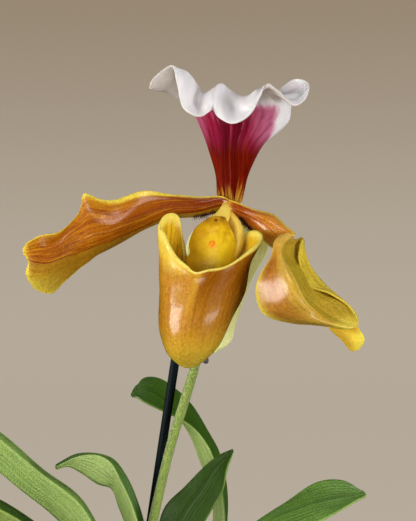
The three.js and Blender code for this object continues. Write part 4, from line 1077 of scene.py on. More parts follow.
@dataclass(frozen=True)
class SepalFace(Finish):
    """The dorsal sepal's face: a crimson funnel that turns brown at its foot, under a white hood."""

    white: Colour = tone(230, 226, 228)
    # painted shade for the face where it turns under the hood
    underside_shade: Colour = tone(208, 199, 193)
    blush: Colour = tone(206, 146, 172)
    crimson: Colour = tone(146, 27, 60)
    magenta: Colour = tone(188, 104, 136)
    wine: Colour = tone(76, 2, 9)
    brown: Colour = tone(116, 20, 2)
    dark_brown: Colour = tone(74, 3, 1)
    rust: Colour = tone(134, 46, 10)
    foot: Colour = tone(198, 142, 46)
    pale_vein: Colour = tone(176, 92, 84)
    left_bounds: Stops = ((0.0, 0.0), (0.26, 0.0), (0.43, 0.2), (0.62, 0.26), (1.0, 0.4))
    right_bounds: Stops = (
        (0.0, 0.0), (0.15, 0.0), (0.28, 0.09), (0.36, 0.32), (0.43, 0.42), (0.57, 0.45), (1.0, 0.5),
    )

    def material(self) -> bpy.types.Material:
        """The face, dark where its veins crowd and pale towards the hood's bounds, with painted shade where
        it turns under the hood.

        Returns:
            The material.
        """
        coat = Coat("sepal face", 0.6, {"Specular IOR Level": 0.02})
        along = coat.along
        (veins, _), (_, streaks), (_, bands) = coat.veins(15, 0.4), coat.veins(24, 0.3), coat.veins(7, 0.3)
        depth, midrib = coat.margin(0.012)
        grain = streaks - 0.5
        below = along.smooth(0.52, 0.38)
        bound = coat.across.smooth(0.46, 0.54).blend(
            coat.curve(along, self.left_bounds), coat.curve(along, self.right_bounds))
        reach = depth - bound + grain * 0.14
        wide = bands.smooth(0.5, 0.62) * depth.smooth(0.3, 0.6) * below
        dark = depth.smooth(0.66, 0.86) * depth.smooth(0.995, 0.96) | wide
        funnel = coat.layers(
            self.crimson, (reach.smooth(0.42, 0.03) * 0.85, self.magenta), (dark * 0.75, self.wine),
            (streaks.smooth(0.5, 0.62) * depth.blend(0.1, 0.5) * below, self.wine),
            (streaks.smooth(0.47, 0.36) * 0.3, self.magenta),
        )
        low = coat.layers(
            self.brown, (streaks.smooth(0.5, 0.64), self.dark_brown),
            (streaks.smooth(0.5, 0.38) * depth.smooth(0.8, 0.2).blend(0.3, 0.9), self.rust),
            (dark * 0.6, self.dark_brown),
        )
        wavy = along + grain * 0.24
        vein_ink = coat.mix(wavy.smooth(0.34, 0.24), self.wine, self.dark_brown)
        pale = reach.smooth(0.08, -0.1) | (along + grain * 0.1).smooth(0.5, 0.64)
        colour = coat.layers(
            funnel, (wavy.smooth(0.36, 0.23), low), (veins * 0.4, vein_ink),
            ((along + grain * 0.4).smooth(0.07, -0.01), self.foot),
            (midrib * grain.smooth(-0.1, 0.1) * 0.65, self.pale_vein),
            (pale.smooth(0.0, 0.6), self.blush), (pale.smooth(0.35, 0.95), self.white),
            # painted shade: the upper face, turned under the hood, is darkened
            (along.smooth(0.56, 0.72), self.underside_shade),
        )
        return coat.finish(colour, None, veins + streaks, 0.00016, 0.00003, mottle=0.08)


@dataclass(frozen=True)
class SepalHood(Finish):
    """The white back of the sepal, which the hood turns to the front."""

    white: Colour = tone(230, 226, 228)
    veined_white: Colour = tone(208, 194, 197)
    blush: Colour = tone(206, 146, 172)
    green: Colour = tone(186, 196, 110)
    midrib: Colour = tone(188, 104, 136)

    def material(self) -> bpy.types.Material:
        """White tissue with fine grey veins, green at its foot and pink along its middle.

        Returns:
            The material.
        """
        coat = Coat("sepal hood", 0.5, tissue(0.12, 0.001, 0.5, 0.15, specular=0.12) | {
            "Sheen Weight": 0.1, "Sheen Roughness": 0.4,
        })
        (veins, _), (_, streaks) = coat.veins(16, 0.5), coat.veins(30, 0.4)
        depth, midrib = coat.margin(0.03)
        inner = depth.smooth(0.3, 0.95) * coat.along.smooth(0.8, 0.6)
        colour = coat.layers(
            self.white, (inner * 0.35, self.blush), (veins * 0.3, self.veined_white),
            (streaks.smooth(0.5, 0.7) * 0.4, self.veined_white),
            (coat.along.smooth(0.3, 0.0) * 0.7, self.green), (midrib * (inner * 0.5), self.midrib),
        )
        return coat.finish(colour, None, veins + streaks, 0.0001, 0.00004)


@dataclass(frozen=True)
class PetalFinish(Finish):
    """A lacquered petal: brown with fine dark veins over gold above its midrib, olive-yellow below."""

    name: str
    gold: Colour = tone(220, 154, 30)
    flush: Colour = tone(178, 98, 6)
    deep: Colour = tone(128, 42, 2)
    vein: Colour = tone(110, 34, 3)
    olive: Colour = tone(172, 124, 22)
    yellow: Colour = tone(238, 212, 76)
    lobe: Colour = tone(220, 198, 72)
    late: Colour | None = None
    flush_along: Stops = ((0.0, 0.0), (0.035, 1.0), (0.3, 1.0), (0.55, 0.9), (0.85, 0.8), (0.97, 0.3))
    deep_end: float = 0.46
    low_edge: float = 0.5
    high_edge: float = 0.95
    fade: float = 0.16
    rim_along: Stops = ((0.0, 0.08), (0.3, 0.07), (0.45, 0.035), (1.0, 0.035))
    vein_count: float = 15.0

    def material(self) -> bpy.types.Material:
        """The petal's glossy skin, with a yellow rim and tip.

        Returns:
            The material.
        """
        coat = Coat(self.name, 0.36, tissue(0.12, 0.001, 0.5, 0.15, coat_roughness=0.21, specular=0.03) | {
            "Specular Tint": WARM,
        })
        across, along = coat.across, coat.along
        veins, wander = coat.veins(self.vein_count, 0.5, 0.55)
        _, streaks = coat.veins(self.vein_count * 1.7, 0.4)
        _, midrib = coat.margin(0.022)
        uneven = (wander - 0.5) * 0.14
        shifted, wavy = across + uneven, along + uneven
        low, high = self.low_edge, self.high_edge + 0.05
        brown = coat.layers(
            self.flush, (wavy.smooth(self.deep_end, 0.08), self.deep),
            (wavy.smooth(0.62, 0.82) * 0.6, self.deep), (streaks.smooth(0.5, 0.36) * 0.5, self.gold),
        )
        above = shifted.smooth(low - 0.04, low + 0.02)
        strength = above * shifted.smooth(high, high - self.fade) * coat.curve(along, self.flush_along)
        ground = coat.mix(above, self.olive, self.gold)
        if self.late is not None:
            ground = coat.mix(along.smooth(0.33, 0.4), ground, self.late)
        rim_width = coat.curve(along, self.rim_along)
        rim = (1.0 - across - rim_width).smooth(0.015, -0.02) | (across - rim_width * 0.8).smooth(0.01, -0.02)
        colour = coat.layers(
            ground, ((strength * streaks.blend(0.8, 1.25)).clamped(), brown),
            (streaks.smooth(0.5, 0.62) * strength.blend(0.3, 0.5), self.vein),
            (veins * strength.blend(0.12, 0.3), self.vein),
            (shifted.smooth(low - 0.1, low - 0.4) * along.smooth(0.7, 0.9) * 0.8, self.lobe),
            (rim | wavy.smooth(0.9, 0.985), self.yellow),
            (midrib * along.smooth(0.02, 0.1) * 0.6, self.vein),
        )
        relief = coat.patches(800, 0.36, 0.66) - (streaks * 0.7 + midrib * 0.8)
        rough = (streaks * coat.patches(160)).blend(0.26, 0.5)
        coat.feed(coat.shader, {"Coat Weight": along.smooth(0.7, 0.86).blend(0.75, 0.15)})
        return coat.finish(colour, rough, relief, 0.0002, 0.00004, mottle=0.25)


@dataclass(frozen=True)
class FoldedPetalFinish(Finish):
    """The reverse of the folded petal: a flushed near wall, an olive hollow and a yellow far edge."""

    gold: Colour = tone(214, 172, 60)
    warm: Colour = tone(252, 202, 92)
    flush: Colour = tone(178, 104, 30)
    vein: Colour = tone(138, 72, 16)
    olive: Colour = tone(196, 166, 42)
    shadow: Colour = tone(150, 118, 20)
    yellow: Colour = tone(240, 216, 84)
    crest: float = 0.355

    def material(self) -> bpy.types.Material:
        """The reverse's skin.

        Returns:
            The material.
        """
        coat = Coat("folded petal reverse", 0.36, tissue(
            0.12, 0.001, 0.5, 0.15, coat=0.7, coat_roughness=0.27, specular=0.12) | {"Specular Tint": WARM})
        across, along = coat.across, coat.along
        (veins, wander), (_, streaks) = coat.veins(20, 0.4), coat.veins(32, 0.4)
        uneven = (wander - 0.5) * 0.12
        past = across - self.crest
        middle = along.smooth(0.5, 0.64) * along.smooth(0.92, 0.8)
        low = (across + uneven).smooth(0.02, 0.1) * past.smooth(-0.05, -0.2)
        patch = middle * low * coat.patches(110).blend(0.7, 1.0)
        wall = coat.layers(
            self.gold, (along.smooth(0.6, 0.46), self.warm), (patch, self.flush),
            (streaks.smooth(0.51, 0.64) * patch.blend(0.22, 0.6), self.vein), (veins * 0.22, self.vein),
        )
        hollow = coat.layers(
            self.olive, (streaks.smooth(0.46, 0.62) * 0.45, self.shadow), (veins * 0.15, self.shadow),
            # painted light: the hollow turns gold towards its top, where its own depth shades it
            (along.smooth(0.62, 0.46) * 0.7, self.gold),
            (along.smooth(0.66, 0.84) * streaks.smooth(0.56, 0.4) * 0.6, self.gold),
        )
        rim = across.smooth(0.035, 0.012) | across.smooth(0.95, 0.985)
        ridge = abs(past + 0.014).smooth(0.016, 0.0) * along.smooth(0.9, 0.8)
        light = rim | ridge * 0.5 | (along + uneven).smooth(0.93, 1.0)
        colour = coat.layers(wall, (past.smooth(-0.012, 0.012), hollow), (light, self.yellow))
        relief = coat.patches(800, 0.36, 0.66) - streaks * 0.7
        rough = (streaks * coat.patches(160)).blend(0.24, 0.5)
        return coat.finish(colour, rough, relief, 0.0002, 0.00004, mottle=0.25)


@dataclass(frozen=True)
class PouchFinish(Finish):
    """The slipper's lacquered outside: golden, with a brown flush, a net of veins, a yellow toe and rim."""

    gold: Colour = tone(208, 158, 42)
    flush: Colour = tone(196, 124, 34)
    umber: Colour = tone(152, 86, 3)
    vein: Colour = tone(136, 74, 6)
    yellow: Colour = tone(240, 206, 68)
    rim: Colour = tone(242, 220, 100)

    def material(self) -> bpy.types.Material:
        """The outside, whose front keel lies half way across the pattern.

        Returns:
            The material.
        """
        coat = Coat("pouch outside", 0.3, tissue(
            0.12, 0.001, 0.5, 0.15, coat=0.6, coat_roughness=0.18, specular=0.12) | {"Specular Tint": WARM})
        across, along = coat.across, coat.along
        (veins, _), (_, streaks) = coat.veins(44), coat.veins(64, 0.5)
        net = coat.value("ShaderNodeTexVoronoi", {
            "Vector": coat.stretch(coat.where, (1.0, 1.0, 0.45)), "Scale": 900.0,
        }, feature="DISTANCE_TO_EDGE").smooth(0.14, 0.02)
        height = along + (streaks - 0.5) * 0.12
        band = height.smooth(0.4, 0.62) * height.smooth(0.98, 0.9)
        left = band * coat.patches(90).blend(0.4, 1.0) * 0.75
        right = height.smooth(0.45, 0.88) * (across.smooth(0.5, 0.535) * across.smooth(0.9, 0.78))
        flushed = left | right
        keel = abs(across - 0.505).smooth(0.03, 0.0) * along.smooth(0.45, 0.85)
        colour = coat.layers(
            self.yellow, (height.smooth(0.12, 0.56), self.gold), (left, self.flush), (right, self.umber),
            (streaks.smooth(0.51, 0.64) * flushed.blend(0.12, 0.3), self.vein),
            (streaks.smooth(0.48, 0.36) * flushed.blend(0.2, 0.22), self.gold),
            (veins * flushed.blend(0.12, 0.25), self.vein), (net * flushed.blend(0.15, 0.42), self.vein),
            (keel * 0.5, self.gold),
            (across.smooth(0.5, 0.42) * height.smooth(0.86, 0.95) * 0.8, self.yellow),
            (along.smooth(0.955, 0.985), self.rim),
        )
        relief = streaks * 0.3 + coat.patches(760, 0.36, 0.66)
        rough = (streaks * coat.patches(260)).blend(0.18, 0.48)
        return coat.finish(colour, rough, relief, 0.00016, 0.00004, mottle=0.2)


@dataclass(frozen=True)
class PouchLining(Finish):
    """The slipper's duller inside, with brown streaks in its left horn."""

    inner: Colour = tone(232, 190, 36)
    streak: Colour = tone(140, 84, 14)
    rim: Colour = tone(242, 220, 100)

    def material(self) -> bpy.types.Material:
        """The slipper's inside.

        Returns:
            The material.
        """
        coat = Coat("pouch inside", 0.4, tissue(
            0.45, 0.002, 0.75, 0.1, coat=0.3, coat_roughness=0.15, specular=0.3) | {"Specular Tint": WARM})
        veins, streaks = coat.veins(50, 0.5)
        upper = coat.along.smooth(0.72, 0.9) * coat.across.smooth(0.5, 0.44).blend(0.2, 1.0)
        colour = coat.layers(
            self.inner, (upper * streaks.smooth(0.48, 0.6) * 0.45, self.streak), (veins * 0.2, self.streak),
            (coat.along.smooth(0.965, 0.99), self.rim),
        )
        return coat.finish(colour, None, coat.patches(420), 0.00014, 0.00004, mottle=0.15)


@dataclass(frozen=True)
class ColumnFinish(Finish):
    """Waxy yellow parts at the flower's centre."""

    name: str
    light: Colour
    dark: Colour
    gloss: float = 0.1
    stain: Colour = tone(150, 88, 14)
    stain_top: float = 0.0
    rim: Colour | None = None
    glow: Colour = tone(250, 168, 22)
    glow_centre: Point | None = None
    glow_reach: tuple[float, float] = (1.0, 2.0)
    dot: Colour = tone(84, 34, 16)
    dot_centre: Point | None = None
    dot_reach: tuple[float, float] = (0.35, 0.75)

    def material(self) -> bpy.types.Material:
        """The waxy skin, darker on its left, stained at its top and round its boss.

        Returns:
            The material.
        """
        coat = Coat(self.name, 0.4, tissue(
            0.35, 0.0015, 0.7, 0.1, coat=self.gloss, coat_roughness=0.2, specular=0.15,
        ) | {"Specular Tint": WARM})
        cloudy = (coat.patches(300) - 0.5) * 0.24
        side = (coat.across + cloudy).smooth(0.8, 0.12) * 0.85
        # Darker to the left and towards the top; on the petal tongue the darker top is painted shadow under
        # the margin that overhangs it.
        colour = coat.mix(side | (coat.along + cloudy).smooth(0.5, 0.1), self.light, self.dark)
        if self.stain_top:
            cloud = coat.patches(480, 0.42, 0.56).blend(0.15, 1.0)
            colour = coat.mix(coat.along.smooth(self.stain_top, 0.0) * cloud, colour, self.stain)
        if self.rim is not None:
            colour = coat.mix(coat.margin()[0].smooth(0.2, 0.06), colour, self.rim)
        for centre, reach, ink in (
            (self.glow_centre, self.glow_reach, self.glow), (self.dot_centre, self.dot_reach, self.dot),
        ):
            if centre is not None:
                colour = coat.mix(coat.spot(centre, *reach), colour, ink)
        return coat.finish(colour, None, coat.patches(700), 0.00008, 0.00003)


@dataclass(frozen=True)
class SynsepalFinish(Finish):
    """The pale joined sepals behind the pouch."""

    pale: Colour = tone(252, 255, 182)
    green: Colour = tone(214, 226, 128)

    def material(self) -> bpy.types.Material:
        """Pale green-white tissue with greener veins.

        Returns:
            The material.
        """
        coat = Coat("synsepal", 0.48, tissue(0.3, 0.002, 1.0, 0.5, specular=0.2))
        veins, _ = coat.veins(18, 0.5, 0.45)
        greener = coat.margin()[0].smooth(0.3, 1.0) * 0.3 | coat.along.smooth(0.8, 1.0) * 0.6
        colour = coat.layers(self.pale, (veins * 0.45, self.green), (greener, self.green))
        return coat.finish(colour, None, veins, 0.0001, 0.00003, mottle=0.1)


@dataclass(frozen=True)
class LeafFinish(Finish):
    """One face of a leathery leaf, with its keel and its light margin."""

    name: str
    base: Colour
    keel: Colour = tone(40, 66, 16)
    gloss: float = 0.2
    rim: Colour = tone(176, 198, 104)
    shade: Colour = tone(40, 66, 16)
    rim_weight: float = 0.2
    midrib_weight: float = 0.35

    def material(self) -> bpy.types.Material:
        """The face's skin.

        Returns:
            The material.
        """
        coat = Coat(self.name, 0.42, {
            "Coat Weight": self.gloss, "Coat Roughness": 0.25, "Specular IOR Level": 0.35,
            "Subsurface Weight": 0.1, "Subsurface Scale": 0.001, "Subsurface Radius": (0.6, 1.0, 0.15),
        })
        (veins, broad), (_, fine) = coat.veins(14, 0.5), coat.veins(26, 0.4)
        depth, midrib = coat.margin(0.06)
        edge = depth.smooth(0.04, 0.012) | coat.along.smooth(0.985, 1.0)
        colour = coat.layers(
            self.base, (broad.smooth(0.42, 0.66) * 0.3, self.shade),
            (fine.smooth(0.5, 0.66) * 0.2, self.shade),
            (coat.patches(55) * 0.22, self.keel), (veins * 0.14, self.keel),
            (midrib * self.midrib_weight, self.keel), (edge * self.rim_weight, self.rim),
        )
        rough = coat.patches(70).blend(0.34, 0.54)
        return coat.finish(colour, rough, veins + fine, 0.00012, 0.00005, 1600.0, mottle=0.22)


@dataclass(frozen=True)
class StalkFinish(Finish):
    """Downy green stalks, with a purple-brown bloom of short hairs."""

    name: str
    green: Colour = tone(132, 158, 58)
    light: Colour = tone(160, 180, 80)
    down: Colour = tone(112, 74, 66)
    cover: float = 0.35
    ribs: float = 0.0

    def material(self) -> bpy.types.Material:
        """The stalk's matt skin.

        Returns:
            The material.
        """
        coat = Coat(self.name, 0.62, {"Sheen Weight": 0.35, "Sheen Roughness": 0.5})
        fuzz = coat.noise(coat.where, 1700.0, 3.0, 0.7).smooth(0.48, 0.66)
        colour = coat.mix(coat.patches(60) * 0.35, self.green, self.light)
        if self.ribs:
            wave = coat.math("COSINE", coat.across * (2 * math.pi * self.ribs))
            colour = coat.mix(wave.smooth(0.1, 0.9) * 0.7, colour, self.down)
        cover = fuzz * coat.patches(90).blend(0.5, 1.0) * (self.cover * 2)
        return coat.finish(coat.mix(cover, colour, self.down), None, fuzz, 0.00015)


@dataclass(frozen=True)
class PlainFinish(Finish):
    """A matt or satin ground with soft patches and fine grain: hairs, plastic, bark and roots."""

    name: str
    ground: Colour
    patch: Colour
    roughness: float = 0.6
    patch_scale: float = 60.0
    grain_scale: float = 900.0
    grain_depth: float = 0.0001
    values: tuple[tuple[str, float], ...] = ()

    def material(self) -> bpy.types.Material:
        """The patched and grained material.

        Returns:
            The material.
        """
        coat = Coat(self.name, self.roughness, dict(self.values))
        grain = coat.noise(coat.where, self.grain_scale, 4.0, 0.65)
        colour = coat.layers(
            self.ground, (coat.patches(self.patch_scale), self.patch),
            (grain.smooth(0.5, 0.75) * 0.35, self.patch),
        )
        rough = grain.blend(self.roughness * 0.85, min(self.roughness * 1.2, 1.0))
        return coat.finish(colour, rough, grain, self.grain_depth)


@dataclass(frozen=True)
class BarkFinish(Finish):
    """Weathered bark chips, each of its own brown."""

    dark: Colour = tone(54, 34, 22)
    light: Colour = tone(128, 88, 58)
    grey: Colour = tone(110, 98, 84)

    def material(self) -> bpy.types.Material:
        """Layered brown bark; the first pattern place is the chip's own tone.

        Returns:
            The material.
        """
        coat = Coat("bark", 0.85)
        grain = coat.noise(coat.stretch(coat.where, (1.0, 1.0, 3.5)), 420.0, 5.0, 0.7)
        colour = coat.layers(
            self.dark, (coat.across, self.light), (grain.smooth(0.45, 0.7) * 0.6, self.grey),
            (grain.smooth(0.5, 0.3) * 0.6, self.dark),
        )
        return coat.finish(colour, grain.blend(0.7, 0.95), grain, 0.0005)


# ---------------------------------------------------------------- the studio


@dataclass(frozen=True)
class SoftLight:
    """A rectangular soft light, in metres and watts, aimed at a point."""

    name: str
    place: Point
    aim: Point
    width: float
    height: float
    power: float
    colour: Colour = (1.0, 1.0, 1.0)
    mirrored: bool = True
    scattered: bool = True
    on_floor: bool = False

    def build(self, apart: bpy.types.Collection) -> None:
        """Adds the light, which the camera doesn't see itself.

        Args:
            apart: The collection that keeps the floor out of the low lights' beams.
        """
        lamp = bpy.data.lights.new(self.name, "AREA")
        lamp.shape, lamp.energy, lamp.color = "RECTANGLE", self.power, self.colour
        lamp.size, lamp.size_y = self.width, self.height
        light = placed(self.name, lamp)
        light.location = self.place
        light.rotation_euler = (Vector(self.aim) - Vector(self.place)).to_track_quat("-Z", "Y").to_euler()
        light.visible_camera = False
        light.visible_glossy, light.visible_diffuse = self.mirrored, self.scattered
        if not self.on_floor:
            light.light_linking.receiver_collection = apart


@dataclass
class Studio:
    """The camera at the bloom's height, soft lights, and a pale floor that rises all round."""

    camera_place: Point = (0.01364, -0.912, 0.2098)
    lens: float = 182.9
    film: float = 36.0
    floor_flat: float = 3.4
    floor_turn: float = 1.3
    floor_sides: int = 96
    floor_tone: Colour = tone(234, 220, 200)
    wall_tone: Colour = tone(192, 172, 146)
    wall_fade: float = 0.9
    floor_glow: float = 0.36
    sky_glow: float = 0.21
    lights: tuple[SoftLight, ...] = (
        SoftLight("left_box", (-0.88, -0.38, 0.28), (0, -0.02, 0.2), 0.75, 0.4, 7.6, (1, 0.985, 0.95), False),
        SoftLight("left_sheen", (-0.9, -0.4, 0.24), (0, -0.02, 0.2), 0.6, 0.6, 15.0, scattered=False),
        SoftLight("right_sheen", (0.36, -0.2, 0.08), (0.02, -0.05, 0.19), 0.24, 0.1, 0.5, scattered=False),
        SoftLight("right_fill", (0.8, -0.45, 0.22), (0.02, -0.02, 0.2), 0.4, 0.3, 5.0, mirrored=False),
        SoftLight(
            "top_sheen", (-0.2, -0.7, 1.0), (0, -0.02, 0.2), 0.5, 0.35, 3.2, scattered=False, on_floor=True),
        SoftLight(
            "front", (-0.1, -0.75, 0.95), (0.02, -0.01, 0.2), 0.5, 0.4, 1.4, mirrored=False, on_floor=True),
        SoftLight("low", (-0.1, -0.7, 0.02), (0.02, -0.02, 0.22), 0.9, 0.25, 3.4, (1, 0.96, 0.88), False),
        SoftLight("top", (0.05, 0.12, 0.95), (0.02, -0.01, 0.2), 0.5, 0.5, 0.6, on_floor=True),
        SoftLight("back_fill", (0.3, 0.95, 0.55), (0.02, 0.02, 0.16), 0.8, 0.6, 4.0, mirrored=False),
    )

    def build(self) -> None:
        """Builds everything that isn't the plant."""
        self._camera()
        self._sky()
        apart = self._floor()
        for light in self.lights:
            light.build(apart)
        bpy.context.scene.view_settings.view_transform = "Standard"

    def _camera(self) -> None:
        """A level camera in front of the bloom."""
        lens = bpy.data.cameras.new("camera")
        lens.lens, lens.sensor_width = self.lens, self.film
        lens.clip_start, lens.clip_end = 0.05, 30.0
        camera = bpy.context.scene.camera = placed("camera", lens)
        camera.location, camera.rotation_euler = self.camera_place, (math.pi / 2, 0.0, 0.0)

    def _sky(self) -> None:
        """An even low light from all round."""
        world = bpy.context.scene.world = bpy.data.worlds.new("sky")
        world.use_nodes = True
        glow = {"Color": (1.0, 0.985, 0.96), "Strength": self.sky_glow}
        NodeDesk(world.node_tree).feed(world.node_tree.nodes["Background"], glow)
        world.cycles_visibility.glossy = False

    def _floor(self) -> bpy.types.Collection:
        """A round floor whose rim turns up into a backdrop.

        Returns:
            A collection that keeps the floor out of a light's beam.
        """
        turn = np.linspace(0, np.pi / 2, 14)
        rim = self.floor_flat + self.floor_turn * np.sin(turn), self.floor_turn * (1 - np.cos(turn))
        flat = [[self.floor_flat * share, 0] for share in (0.2, 0.6)]
        rings = turned_rings(np.concatenate([flat, np.stack(rim, 1)]), self.floor_sides)
        i, j = (part.ravel() for part in np.mgrid[:len(rings) - 1, :self.floor_sides])
        k = (j + 1) % self.floor_sides
        corners = np.stack([i, i + 1, i + 1, i], 1) * self.floor_sides + np.stack([j, j, k, k], 1)
        mesh = plain_mesh("floor", rings.reshape(-1, 3), [list(range(self.floor_sides)), *corners.tolist()])
        mesh.shade_smooth()
        coat = Coat("pale floor", 0.9, {"Emission Strength": self.floor_glow})
        height = coat.split(coat.where)[2]
        # painted shade: the tone darkens up the rising wall, as the light's fall-off away from the lamps
        tint = coat.mix(height.smooth(0.0, self.wall_fade), self.floor_tone, self.wall_tone)
        coat.feed(coat.shader, {"Base Color": tint, "Emission Color": tint})
        mesh.materials.append(coat.material)
        floor = placed("floor", mesh)
        floor.visible_glossy = floor.visible_diffuse = False
        apart = bpy.data.collections.new("floor apart")
        apart.objects.link(floor)
        apart.collection_objects[0].light_linking.link_state = "EXCLUDE"
        return apart


# ---------------------------------------------------------------- pot, bark and rootstock


@dataclass
class Potting:
    """The nursery pot, the bark in it and the crowns and roots at its top."""

    pot_sides: int = 144
    pot_profile: tuple[tuple[float, float], ...] = (
        (0, 0), (26, 0), (29.2, 0), (30.4, 0.35), (31, 1.1), (31.5, 4), (42.5, 71), (44.2, 71.8),
        (44.6, 72.5), (45.4, 82.6), (45.5, 84.1), (45.15, 84.8), (44.6, 85), (44.05, 84.85),
        (43.7, 84.3), (42.8, 74), (42.3, 73), (40.8, 70.5), (29.3, 2.2), (0, 2.2),
    )
    drain_hole: float = 3.5
    drain_ring: float = 19.0
    drain_holes: int = 6
    bed_level: float = 73.4
    bed_profile: tuple[tuple[float, float], ...] = (
        (0, 2.6), (28.8, 2.6), (40.3, 70.3), (40.9, 72.8), (39, 73.4),
    )
    chips: int = 190
    chip_reach: float = 37.0
    chip_limit: float = 41.0
    chip_cells: tuple[int, int, int] = (6, 4, 2)
    chip_seed: int = 11
    crowns: tuple[tuple[tuple[float, float], float], ...] = ((MAIN_GROWTH, 11.1), (SECOND_GROWTH, 8.4))
    root_radius: float = 1.5
    rhizome_radius: float = 2.6
    roots: tuple[tuple[tuple[float, float], Row], ...] = (
        (MAIN_GROWTH, ((-8, -4, 75.4), (-15, -9, 77.6), (-21, -14, 72), (-22, -16, 62))),
        (MAIN_GROWTH, ((5, -8, 75.2), (9, -18, 77.4), (11, -27, 72), (11, -29, 62))),
        (MAIN_GROWTH, ((-7, 6, 75), (-14, 11, 77.2), (-20, 16, 72), (-21, 18, 62))),
        (SECOND_GROWTH, ((6, -3, 75.2), (12, -9, 77.2), (16, -17, 72), (16, -19, 62))),
    )

    def build(self) -> None:
        """Builds and dresses the pieces."""
        self._pot()
        self._bed()
        self._bark_chips()
        self._rootstock()

    def _pot(self) -> None:
        """The pot, with its drain holes cut through the floor."""
        plastic = PlainFinish("pot plastic", tone(50, 52, 54), tone(62, 64, 66), 0.5, 40.0, 1400.0, 0.00004)
        skin = turned_mesh(self.pot_profile, self.pot_sides)
        pot = new_piece("pot_shell", skin, [plastic], "pot")
        drill, *rest = turned_mesh([(0, -3), (self.drain_hole, -3), (self.drain_hole, 6), (0, 6)], 24)
        angles = (2 * math.pi * i / self.drain_holes for i in range(self.drain_holes))
        drills = merged([
            (drill + [self.drain_ring * math.cos(angle), self.drain_ring * math.sin(angle), 0], *rest)
            for angle in angles
        ])
        cutter = placed("drills", plain_mesh("drills", drills[0] * MM, drills[1]))
        cut = pot.modifiers.new("drain holes", "BOOLEAN")
        cut.operation, cut.object, cut.solver = "DIFFERENCE", cutter, "EXACT"
        bpy.context.view_layer.update()
        drilled = bpy.data.meshes.new_from_object(pot.evaluated_get(bpy.context.evaluated_depsgraph_get()))
        pot.modifiers.clear()
        pot.data = drilled
        pot.data.set_sharp_from_angle(angle=math.radians(28))
        bpy.data.objects.remove(cutter)

    def _bed(self) -> None:
        """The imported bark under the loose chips."""
        top = [(radius, self.bed_level) for radius in np.linspace(37, 1.5, 22)]
        vertices, faces, uv = turned_mesh([*self.bed_profile, *top, (0, self.bed_level)], 96)
        vertices[:, 2] += smoothstep(vertices[:, 2], 70, 73) * (0.8 * Ripples(21).at(vertices, 7.0) - 0.6)
        uv[:, 0] = 0.15
        bed = new_piece("bark_bed", (vertices, faces, uv), [BarkFinish()], "bark")
        bed.data.set_sharp_from_angle(angle=math.radians(45))

    def _chip(self, draw: np.random.Generator) -> tuple[np.ndarray, list[tuple[int, ...]]]:
        """One uneven chip about the origin, from a gridded block.

        Args:
            draw: The source of its random numbers.

        Returns:
            Its corners and faces.
        """
        grids, faces, base = [], [], 0
        for axis in range(3):
            first, second = (a for a in range(3) if a != axis)
            rows, columns = self.chip_cells[first] + 1, self.chip_cells[second] + 1
            for end in (0.0, 1.0):
                block = np.full((rows, columns, 3), end)
                block[..., first] = np.linspace(0, 1, rows)[:, None]
                block[..., second] = np.linspace(0, 1, columns)
                turn = -1 if (end == 1.0) == (axis == 1) else 1
                for corner in (base + i * columns + j for i in range(rows - 1) for j in range(columns - 1)):
                    faces.append((corner, corner + columns, corner + columns + 1, corner + 1)[::turn])
                grids.append(block.reshape(-1, 3))
                base += rows * columns
        points = np.concatenate(grids) - 0.5
        size = np.array([draw.uniform(6, 12.5), draw.uniform(3.8, 7.5), draw.uniform(2.2, 4.6)])
        points = points * size * (1 - 0.5 * draw.uniform(0.2, 1, 3) * np.abs(points[:, [1, 2, 0]] * 2) ** 2)
        grain = Ripples(int(draw.integers(1, 10 ** 6)), 8)
        points = points + 0.42 * np.stack([grain.at(points + shift, 4.2) for shift in (0, 40, 80)], -1)
        points[:, 2] += 0.22 * grain.at(points * [0.5, 2.2, 1], 3.0)
        return points, faces

    def _bark_chips(self) -> None:
        """Loose chips on the bed, clear of the crowns and the stake."""
        draw = np.random.default_rng(self.chip_seed)
        golden = math.pi * (3 - math.sqrt(5))
        stake = STAKE_FOOT + STAKE_RUN * 0.33
        clear = [*((centre, size + 2.2) for centre, size in self.crowns), (stake[:2], 4.5)]
        parts = []
        for i in range(self.chips):
            radius = self.chip_reach * math.sqrt((i + 0.5) / self.chips)
            middle = np.array([radius * math.cos(i * golden), radius * math.sin(i * golden)])
            points, faces = self._chip(draw)
            turns = draw.uniform(0, 2 * np.pi), draw.normal(0, 0.25), draw.normal(0, 0.25)
            lift = self.bed_level + draw.uniform(-0.2, 2.6)
            if any(math.hypot(*(middle - centre)) < reach for centre, reach in clear):
                continue
            place = turned(points, turns[::-1]) + [*middle, lift]
            place[:, :2] *= min(1.0, self.chip_limit / np.hypot(place[:, 0], place[:, 1]).max())
            parts.append((place, faces, np.tile([draw.uniform(0, 1), 0.0], (4 * len(faces), 1))))
        chips = new_piece("bark_chips", merged(parts), [BarkFinish()])
        chips.data.set_sharp_from_angle(angle=math.radians(40))

